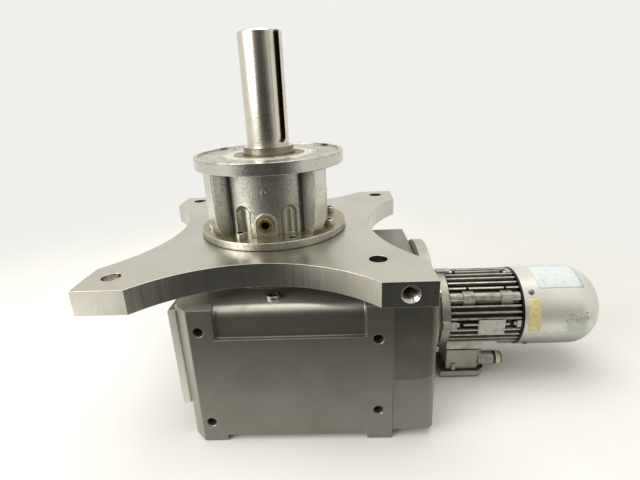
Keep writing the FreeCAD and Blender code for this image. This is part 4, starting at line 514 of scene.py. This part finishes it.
# Painted shade: the housing plug's socket is painted near black.
plug_low, plug_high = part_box("housing_plug")
plug_axis = from_axis(tree, place, centre=(plug_low + plug_high) / 2)
height = add(tree, "SeparateXYZ", links={0: place}).outputs[2]
lay(tree, shader, "#0c0b09", both(tree, inside(tree, plug_axis, HOUSING_PLUG_SOCKET),
                                  span(tree, height, plug_low.z, plug_high.z - SOCKET_LIP, 0.0002)))
dress(zinc, "grease_nipple", "housing_plug", "rear_cover_screws", "seal_cover_screws", "input_flange_screws",
      "motor_shield_screws", "brake_bolts", "lid_screws")
brass, tree, shader, place = surface("turned_brass", "#c4ad6c", metallic=1.0, roughness=0.28)
lay(tree, shader, "#7d6a3c", mottle(tree, place, 5, 0.45, 0.7))
# Painted shade: the oil plug's socket is painted near black.
plug_low, plug_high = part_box("oil_plug")
plug_axis = from_axis(tree, place, (1, 0, 1), (plug_low + plug_high) / 2)
inwards = add(tree, "SeparateXYZ", links={0: place}).outputs[1]
lay(tree, shader, "#0c0b09", both(tree, inside(tree, plug_axis, OIL_PLUG_SOCKET),
                                  span(tree, inwards, plug_low.y + SOCKET_LIP, plug_high.y, 0.0002)))
dress(brass, "oil_plug")


# Seal cover and shaft seal: a flat painted ring screwed over the upper bearing, and a black rubber lip seal
# in it. Grease and dust have dried on both, tan with dark crumbs.
COVER_RIM = (0.0755, 0.084)
cover_ring, tree, shader, place = cast_paint(
    "dusty_silver_lacquer", "#e4dfd3", "#d6cfbf",
    metallic=0.55, roughness=0.42, sand_mm=3.0, depth_mm=0.08)
lay(tree, shader, "#6d624c", both(tree, span(tree, from_axis(tree, place), *COVER_RIM, 0.002),
                                  mottle(tree, place, 5, 0.42, 0.58, 0.6)))
lay(tree, shader, "#4d4232", mottle(tree, place, 4, 0.58, 0.66, 0.85))
dress(cover_ring, "seal_cover")
dusty_rubber, tree, shader, place = surface("dusty_nitrile_rubber", "#a79e89", metallic=0, roughness=0.75)
lay(tree, shader, "#7d735d", mottle(tree, place, 12, 0.45, 0.62))
lay(tree, shader, "#2f2a21", mottle(tree, place, 4, 0.55, 0.63, 0.95))
# Dirt and painted shade in the corners.
dirt_and_shade(tree, shader, "#3a3325", reach_mm=6, most=0.8)
dress(dusty_rubber, "shaft_seal")
rubber, tree, shader, place = surface("nitrile_rubber", "#23221f", metallic=0, roughness=0.6)
lay(tree, shader, "#4a463c", mottle(tree, place, 9, 0.45, 0.7))
dress(rubber, "box_gaskets")


# Mounting plate: a 36 mm steel plate, cut to an X, milled and left bare under a thin clear film. The cutter's
# upright lines on its sides are drawn 1.4 mm apart, coarser than real, so that they show. The front of the
# right arc is painted darker and the front of the left arm paler, painted reflections, and tan dirt lies round
# the lantern's foot.
CUTTER_MM, CUTTER_DEPTH = 1.4, 0.00003
PLATE_FRONT, RIGHT_ARC, LEFT_ARM, FOOT_DIRT = (-0.25, -0.1), (0.06, 0.1635), (-0.24, -0.163), (0.12, 0.1275)
TAPPED_HOLE_X = 0.2
THREAD_PITCH, THREAD_START, THREAD_DEPTH, STEPS_A_TURN = 0.003, 0.0012, 0.045, 24
THREAD_ROOT, THREAD_CREST = 0.0106, 0.0097
THREAD_PROFILE = ((THREAD_ROOT, -0.4), (THREAD_CREST, -0.06), (THREAD_CREST, 0.06), (THREAD_ROOT, 0.4))
mount_low, mount_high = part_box("mounting_plate")
milled_plate, tree, shader, place = surface("milled_steel_plate", "#cac6bb", metallic=1.0, roughness=0.2)
cutter = add(tree, "VectorMath", {"operation": "MULTIPLY", 1: (1, 1, 0.02)}, {0: place}).outputs[0]
lines = add(tree, "TexNoise", {"Scale": repeats(CUTTER_MM), "Detail": 3}, {"Vector": cutter}).outputs[0]
across, ahead, height = add(tree, "SeparateXYZ", links={0: place}).outputs
top_face = span(tree, height, mount_high.z - 0.0003, mount_high.z + 0.01, 0.0002)
sides = add(tree, "Math", {"operation": "SUBTRACT", 0: 1.0}, {1: top_face}).outputs[0]
front_sides = both(tree, sides, span(tree, ahead, *PLATE_FRONT, 0.01))
lay(tree, shader, "#bdb9ad", mottle(tree, place, 90, 0.4, 0.68, 0.7))
lay(tree, shader, "#8f8b80", both(tree, sides, mottle(tree, cutter, 3.5, 0.46, 0.7, 0.2)))
# Painted reflection: the front of the right arc is painted darker.
lay(tree, shader, "#7d796e", both(tree, front_sides, span(tree, across, *RIGHT_ARC, 0.05),
                                  mottle(tree, cutter, 3.5, 0.0, 0.4, 0.5)))
# Painted reflection: the front of the left arm is painted pale.
lay(tree, shader, "#f0ece0", both(tree, front_sides, span(tree, across, *LEFT_ARM, 0.001),
                                  mottle(tree, place, 40, 0.0, 0.4, 0.9)))
foot_dirt = both(tree, top_face, span(tree, from_axis(tree, place), *FOOT_DIRT, 0.0012))
lay(tree, shader, "#a3966f", both(tree, foot_dirt, mottle(tree, place, 10, 0.3, 0.5, 0.95)))
# Dirt and painted shade in the corners.
dirt_and_shade(tree, shader, "#1b1914", reach_mm=6, most=0.8)
uneven(tree, shader, lines, smooth=0.15, rough=0.25)
roughen(tree, shader, top_face, change=0.09)
milled = add(tree, "Bump", {"Distance": CUTTER_DEPTH}, {"Height": lines})
tree.links.new(add(tree, "MapRange", {"To Min": 0.3, "To Max": 0.12}, {"Value": top_face}).outputs[0],
               milled.inputs["Strength"])
tree.links.new(milled.outputs[0], shader.inputs["Normal"])
rounded("milled_mounting_plate", ["mounting_plate"], milled_plate,
        edge_mm=0.6, fillet_mm=0.6)

tapped_hole = Vector((TAPPED_HOLE_X, mount_low.y, (mount_low.z + mount_high.z) / 2))
thread_shape = bmesh.new()
rings = []
for turn_step in range(int(THREAD_DEPTH / THREAD_PITCH * STEPS_A_TURN) + 1):
    angle = math.radians(360 / STEPS_A_TURN * turn_step)
    depth = THREAD_START + THREAD_PITCH * turn_step / STEPS_A_TURN
    rings.append([thread_shape.verts.new(tapped_hole + Vector((
        radius * math.sin(angle), depth + offset * THREAD_PITCH, radius * math.cos(angle))))
        for radius, offset in THREAD_PROFILE])
for near, far in zip(rings, rings[1:]):
    for first, second in ((0, 1), (1, 2), (2, 3), (3, 0)):
        thread_shape.faces.new((near[first], near[second], far[second], far[first]))
for end in (rings[0], rings[-1]):
    thread_shape.faces.new(end)
bmesh.ops.recalc_face_normals(thread_shape, faces=thread_shape.faces)
shaped("tapped_thread", thread_shape, milled_plate)


# Gear housing: one iron casting with two foot rails, lacquered dark metallic grey, which gives it a soft even
# shine. Old oil lies along the recess, a few rust specks are scattered over it and the upper right of the
# front is damp. The recess face and the upper front are painted darker, a painted shade; the recess's round,
# the top, the left chamfer, the left pad and the pad's corner are painted pale, painted highlights and
# reflections.
RECESS_LEVEL, RECESS_FACE_TOP, RECESS_ROUND = -0.241, -0.205, (-0.2, -0.1925)
RECESS_WALL, RECESS_ENDS = (-0.1945, -0.18), (-0.0725, 0.1475)
FRONT_FACE, UPPER_FRONT = (-0.21, -0.19), (-0.285, -0.15)
OIL_LINE, OIL_LINE_ENDS = (RECESS_LEVEL - 0.0008, RECESS_LEVEL + 0.0004), (-0.07, 0.15)
TOP_LEVEL, LIT_TOP = (-0.1925, -0.191), (-0.2, -0.1)
CHAMFER, CHAMFER_DEPTH = (-0.1305, -0.1095), (-0.21, -0.177)
LEFT_PAD, LEFT_PAD_DEPTH = (-0.2, -0.1305), (-0.21, -0.179)
PAD_CORNER, PAD_CORNER_DEPTH = (-0.1316, -0.1262), (-0.1845, -0.176)
DAMP_WIDTH, DAMP_HEIGHT, DAMP_CREEP, CREEP_MM = (0.189, 0.26), (-0.299, -0.15), 0.03, 14
grey_lacquer, tree, shader, place = cast_paint(
    "grey_lacquer_on_iron", "#8c8a82", "#85837a",
    metallic=0.75, roughness=0.36, sand_mm=2.4, depth_mm=0.06)
x, y, z = add(tree, "SeparateXYZ", links={0: place}).outputs
front = span(tree, y, *FRONT_FACE, 0.001)
lay(tree, shader, "#6f6142", both(tree, front, span(tree, z, *OIL_LINE), span(tree, x, *OIL_LINE_ENDS),
                                  mottle(tree, place, 18, 0.3, 0.55, 0.7)))
recess = both(tree, span(tree, y, *RECESS_WALL, 0.001), span(tree, x, *RECESS_ENDS))
# Painted shade: the recess face is painted darker.
lay(tree, shader, "#5d5a50", both(tree, recess, span(tree, z, RECESS_LEVEL, RECESS_FACE_TOP, 0.006),
                                  mottle(tree, place, 30, 0.1, 0.4, 0.75)))
# Painted highlight: the recess's rounded edge is painted pale.
lay(tree, shader, "#b9b6aa", both(tree, recess, span(tree, z, *RECESS_ROUND, 0.003),
                                  mottle(tree, place, 30, 0.1, 0.4, 0.95)))
# Painted shade: the upper part of the front is painted darker.
lay(tree, shader, "#716f65", both(tree, front, span(tree, z, *UPPER_FRONT, 0.06),
                                  mottle(tree, place, 60, 0.0, 0.3, 0.7)))
# Painted light: the top in front of the plate is painted pale.
lay(tree, shader, "#b5b2a6", both(tree, span(tree, y, *LIT_TOP, 0.004), span(tree, z, *TOP_LEVEL, 0.0003)))
# Painted reflection: the left chamfer is painted paler.
lay(tree, shader, "#a3a198", both(tree, span(tree, x, *CHAMFER, 0.0006),
                                  span(tree, y, *CHAMFER_DEPTH, 0.001)))
# Painted highlight: the left pad's front is painted near white.
lay(tree, shader, "#e8e5da", both(tree, span(tree, x, *LEFT_PAD, 0.0006),
                                  span(tree, y, *LEFT_PAD_DEPTH, 0.001)))
creep = add(tree, "TexNoise", {"Scale": repeats(CREEP_MM), "Detail": 4}, {"Vector": place}).outputs[0]
damp_level = add(tree, "Math", {"operation": "MULTIPLY_ADD", 1: DAMP_CREEP}, {0: creep, 2: z}).outputs[0]
damp = both(tree, front, span(tree, x, *DAMP_WIDTH, 0.001), span(tree, damp_level, *DAMP_HEIGHT, 0.0012))
lay(tree, shader, "#4a483f", both(tree, damp, mottle(tree, place, 26, 0.1, 0.5, 0.42)))
lay(tree, shader, "#4b3826", mottle(tree, place, 9, 0.735, 0.755, 0.9))
# Dirt and painted shade in the corners.
dirt_and_shade(tree, shader, "#2b271e", reach_mm=5, most=0.55)
# Painted light: the corner between the pad and the chamfer is painted pale over its shade.
lay(tree, shader, "#dcd9ce", both(tree, span(tree, x, *PAD_CORNER, 0.0003),
                                  span(tree, y, *PAD_CORNER_DEPTH, 0.0005)))
rounded("housing_casting", ["gear_housing", "foot_rails"], grey_lacquer,
        edge_mm=1.8, fillet_mm=2.2)
dress(grey_lacquer, "lower_bearing_cap", "intermediate_bearing_cap")
rounded("rear_cover_plate", ["rear_cover"], grey_lacquer,
        edge_mm=1.2, fillet_mm=1)


# Input flange and motor front shield: castings in a paler grey lacquer that carry the motor on the housing's
# right end, grainy and dusty.
flange_lacquer, tree, shader, place = cast_paint(
    "pale_grey_lacquer_on_iron", "#b3b0a3", "#a19e92",
    metallic=0.65, roughness=0.4, sand_mm=2.4, depth_mm=0.14)
lay(tree, shader, "#8d866c", mottle(tree, place, 22, 0.5, 0.7, 0.5))
# Dirt and painted shade in the corners.
dirt_and_shade(tree, shader, "#2e2a20", reach_mm=8, most=0.75)
rounded("input_flange_casting", ["input_flange"], flange_lacquer,
        edge_mm=1.2, fillet_mm=1.5)
rounded("motor_shield_casting", ["motor_front_shield"], flange_lacquer,
        edge_mm=1.0, fillet_mm=1.5)


# Stator frame: a finned aluminium casting with a seat for the terminal box and lugs for feet, lacquered grey.
# The fins' tips are painted pale, dust and a painted highlight, and the gaps between them and the ring at the
# frame's end are painted near black, a painted shade. The packs of stamped sheet inside, wound with copper,
# are drawn in 7.5 mm stripes, coarser than real.
FIN_GAP, FIN_TIP, END_RING = (0, 0.0655), (0.0688, 0.09), (0.425, 0.45)
STRIPE_MM, WAVE_LENGTH = 7.5, math.tau / 20
rotor_low, rotor_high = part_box("rotor_shaft")
motor_axis = (rotor_low + rotor_high) / 2
motor_lacquer, tree, shader, place = cast_paint(
    "grey_lacquer_on_aluminium", "#a4a194", "#8c897d",
    metallic=0.55, roughness=0.32, sand_mm=1.8, depth_mm=0.06)
motor_radius = from_axis(tree, place, (0, 1, 1), motor_axis)
# Painted shade: the gaps between the fins are painted near black.
lay(tree, shader, "#25231d", both(tree, span(tree, motor_radius, *FIN_GAP, 0.0015),
                                  mottle(tree, place, 20, 0.1, 0.4, 0.8)))
# Dust and painted highlight: the fins' tips are painted pale.
lay(tree, shader, "#cfccbe", both(tree, span(tree, motor_radius, *FIN_TIP, 0.001),
                                  mottle(tree, place, 12, 0.28, 0.58, 0.85)))
# Dirt and painted shade in the corners.
dirt_and_shade(tree, shader, "#1d1b16", reach_mm=8, most=0.8)
along = add(tree, "SeparateXYZ", links={0: place}).outputs[0]
# Painted shadow: the ring at the frame's end, under the fan cover's edge, is painted near black.
lay(tree, shader, "#191815", span(tree, along, *END_RING, 0.0008))
rounded("finned_frame_casting", ["stator_frame"], motor_lacquer,
        edge_mm=0.5, fillet_mm=0.5)
dress(motor_lacquer, "rear_shield")
core_steel, tree, shader, place = surface("stamped_core_steel", "#77746e", metallic=1.0, roughness=0.45)
stripes = add(tree, "TexWave", {"Scale": repeats(STRIPE_MM) * WAVE_LENGTH, "bands_direction": "X"},
              {"Vector": place}).outputs["Fac"]
lay(tree, shader, "#57544e", stripes)
dress(core_steel, "stator_core", "rotor_core")
copper, tree, shader, place = surface("varnished_copper_wire", "#9a5a34", metallic=0.9, roughness=0.35)
lay(tree, shader, "#5f3219", mottle(tree, place, 1.5, 0.42, 0.62))
dress(copper, "stator_windings")
rotor_steel = ground_steel("turned_rotor_steel", "#bdb8ae", roughness=0.28, rings=(1, 0.02, 0.02))[0]
dress(rotor_steel, "rotor_shaft", "brake_hub", "brake_springs")


# Nameplate: a thin bare aluminium plate on the fins, etched to a matt, speckled grey and held by four drive
# rivets with low round heads.
RIVET_RADIUS, RIVET_RISE, RIVET_INSET, RIVET_LEVEL, RIVET_SEAT = 0.0017, 0.0009, 0.0035, 0.0118, 0.0729
PLATE_TILT = math.radians(3.5)
bare_aluminium, tree, shader, place = surface("etched_aluminium", "#d8d7cf", metallic=0.45, roughness=0.45)
lay(tree, shader, "#a9a89f", mottle(tree, place, 1.8, 0.44, 0.6, 0.7))
lay(tree, shader, "#8f8a78", mottle(tree, place, 14, 0.5, 0.7, 0.5))
rounded("bare_nameplate", ["nameplate"], bare_aluminium,
        edge_mm=0.3, fillet_mm=0.3)
sign_low, sign_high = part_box("nameplate")
outward = Vector((0, -math.cos(PLATE_TILT), -math.sin(PLATE_TILT)))
upward = Vector((0, -math.sin(PLATE_TILT), math.cos(PLATE_TILT)))
rivet_turn = Matrix((Vector((1, 0, 0)), upward, outward)).transposed().to_4x4()
rivet_size = Matrix.Diagonal((RIVET_RADIUS, RIVET_RADIUS, RIVET_RISE, 1))
rivet_shape = bmesh.new()
for along in (sign_low.x + RIVET_INSET, sign_high.x - RIVET_INSET):
    for level in (-RIVET_LEVEL, RIVET_LEVEL):
        seat = Vector((along, 0, motor_axis.z)) + outward * RIVET_SEAT + upward * level
        bmesh.ops.create_uvsphere(rivet_shape, u_segments=20, v_segments=12, radius=1.0,
                                  matrix=Matrix.Translation(seat) @ rivet_turn @ rivet_size)
bmesh.ops.recalc_face_normals(rivet_shape, faces=rivet_shape.faces)
for face in rivet_shape.faces:
    face.smooth = True
shaped("nameplate_rivets", rivet_shape, zinc)


# Brake lining and black mouldings: a pressed friction disc, rough and brown, and a fan, terminal block and
# ring moulded in black plastic with a soft shine.
lining, tree, shader, place = surface("pressed_friction_lining", "#3d3a35", metallic=0, roughness=0.85)
lay(tree, shader, "#6b5a3e", mottle(tree, place, 2, 0.55, 0.7))
dress(lining, "brake_disc")
black_plastic, tree, shader, place = surface("black_moulded_plastic", "#1f1f1e", metallic=0, roughness=0.42)
lay(tree, shader, "#35342f", mottle(tree, place, 4, 0.45, 0.7))
dress(black_plastic, "fan", "terminal_block", "outlet_ring")


# Fan cover: a deep-drawn steel hood with slots at its end, sprayed silver and screwed to the frame, with a
# scuffed pale patch and dark scratches on its side. A bare paper and a bare foil label are stuck round it.
COVER_ROUND, COVER_ROUND_START = 0.052, 0.5255
SCUFF_LENGTH, SCUFF_ANGLES = (0.503, 0.541), (-0.36, 0.13)
SCRATCH_LENGTH, SCRATCH_ANGLES, UNDERSIDE_ANGLES = (0.49, 0.55), (0.02, 0.3), (-3.2, -0.45)
RAGGED, RAGGED_TURN, RAGGED_MM = 0.012, 12.0, 9
LABEL_LIFT, LABEL_THICKNESS, LABEL_CORNER_MM, CORNER_SHARE = 0.0001, 0.0002, 1.2, 0.1
cover_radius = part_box("fan_cover")[1].y
cover_lacquer, tree, shader, place = cast_paint(
    "silver_lacquer_on_sheet", "#e2e0d6", "#d8d5ca",
    metallic=0.5, roughness=0.33, sand_mm=3.0, depth_mm=0.004)
x, y, z = add(tree, "SeparateXYZ", links={0: place}).outputs
rise = add(tree, "Math", {"operation": "SUBTRACT", 1: motor_axis.z}, {0: z}).outputs[0]
outwards = add(tree, "Math", {"operation": "MULTIPLY", 1: -1.0}, {0: y}).outputs[0]
round_angle = add(tree, "Math", {"operation": "ARCTAN2"}, {0: rise, 1: outwards}).outputs[0]
ragged = add(tree, "TexNoise", {"Scale": repeats(RAGGED_MM), "Detail": 5}, {"Vector": place}).outputs[0]
ragged = add(tree, "MapRange", {"To Min": -RAGGED, "To Max": RAGGED}, {"Value": ragged}).outputs[0]
ragged_x = add(tree, "Math", {"operation": "ADD"}, {0: x, 1: ragged}).outputs[0]
ragged_angle = add(tree, "Math", {"operation": "MULTIPLY_ADD", 1: RAGGED_TURN},
                   {0: ragged, 2: round_angle}).outputs[0]
# Painted shade: the cover's underside is painted darker.
lay(tree, shader, "#928f86", span(tree, ragged_angle, *UNDERSIDE_ANGLES, 0.3))
scuff = both(tree, span(tree, ragged_x, *SCUFF_LENGTH, 0.0025), span(tree, ragged_angle, *SCUFF_ANGLES, 0.03))
lay(tree, shader, "#b9c2b2", both(tree, scuff, mottle(tree, place, 20, 0.25, 0.5, 0.85)))
scratch = both(tree, span(tree, x, *SCRATCH_LENGTH, 0.006), span(tree, round_angle, *SCRATCH_ANGLES, 0.03))
lay(tree, shader, "#5d584b", both(tree, scratch, mottle(tree, place, 4, 0.58, 0.64, 0.85)))
lay(tree, shader, "#8f8b7d", mottle(tree, place, 11, 0.72, 0.76, 0.6))
dress(cover_lacquer, "fan_cover")


def wrapped_label(name, material, start_mm, end_mm, low_degrees, high_degrees):
    """A thin bare label that follows the round of the cover, with trimmed corners."""
    shape = bmesh.new()
    across, along = 24, 12
    grid = []
    for step in range(across + 1):
        angle = math.radians(low_degrees + (high_degrees - low_degrees) * step / across)
        trim = LABEL_CORNER_MM * max(0, abs(2 * step / across - 1) - 1 + CORNER_SHARE) / CORNER_SHARE
        row = []
        for part in range(along + 1):
            length = (start_mm + trim + (end_mm - start_mm - 2 * trim) * part / along) / 1000
            past = max(0, length - COVER_ROUND_START)
            out = cover_radius - COVER_ROUND + math.sqrt(COVER_ROUND ** 2 - past ** 2) + LABEL_LIFT
            rise = motor_axis.z + out * math.sin(angle)
            row.append(shape.verts.new((length, -out * math.cos(angle), rise)))
        grid.append(row)
    for low_row, high_row in zip(grid, grid[1:]):
        for part in range(along):
            face = shape.faces.new((low_row[part], low_row[part + 1], high_row[part + 1], high_row[part]))
            face.smooth = True
    label = shaped(name, shape, material)
    thickness = label.modifiers.new("paper_thickness", "SOLIDIFY")
    thickness.thickness = LABEL_THICKNESS
    thickness.offset = 1


label_paper, tree, shader, place = surface("coated_label_paper", "#dde3e1", metallic=0, roughness=0.45)
lay(tree, shader, "#cfd6d3", mottle(tree, place, 10, 0.48, 0.7))
lay(tree, shader, "#b9b8ab", mottle(tree, place, 6, 0.66, 0.72, 0.6))
wrapped_label("bare_paper_label", label_paper,
              start_mm=459, end_mm=537, low_degrees=50, high_degrees=100)
gold_foil, tree, shader, place = surface("gold_foil", "#ecdca4", metallic=0.2, roughness=0.4)
lay(tree, shader, "#d8c480", mottle(tree, place, 7, 0.45, 0.68))
lay(tree, shader, "#8f7a3d", mottle(tree, place, 3, 0.68, 0.74, 0.7))
wrapped_label("bare_foil_label", gold_foil,
              start_mm=437, end_mm=458, low_degrees=-11, high_degrees=35.5)


# Terminal box: a small die-cast box with a screwed lid, lacquered grey, dusty, and fixed under the motor.
# A black ring and a pale plastic plug, yellowed, and olive at its end, close its outlet.
PLUG_END = 0.0045
box_lacquer, tree, shader, place = cast_paint(
    "grey_lacquer_on_die_casting", "#b2afa4", "#a3a095",
    metallic=0.45, roughness=0.4, sand_mm=1.8, depth_mm=0.05)
lay(tree, shader, "#7d7560", mottle(tree, place, 16, 0.55, 0.72, 0.5))
# Dirt and painted shade in the corners.
dirt_and_shade(tree, shader, "#2b271e", reach_mm=7, most=0.75)
rounded("terminal_box_casting", ["terminal_box"], box_lacquer,
        edge_mm=1.0, fillet_mm=1.0)
rounded("terminal_lid_casting", ["terminal_lid"], box_lacquer,
        edge_mm=0.8, fillet_mm=0.8)
pale_plastic, tree, shader, place = surface("pale_moulded_plastic", "#dddac8", metallic=0, roughness=0.4)
lay(tree, shader, "#c4bf9f", mottle(tree, place, 8, 0.4, 0.7))
plug_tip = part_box("blanking_plug")[1].x
along = add(tree, "SeparateXYZ", links={0: place}).outputs[0]
lay(tree, shader, "#7d7845", span(tree, along, plug_tip - PLUG_END, plug_tip + 0.01))
dress(pale_plastic, "blanking_plug")
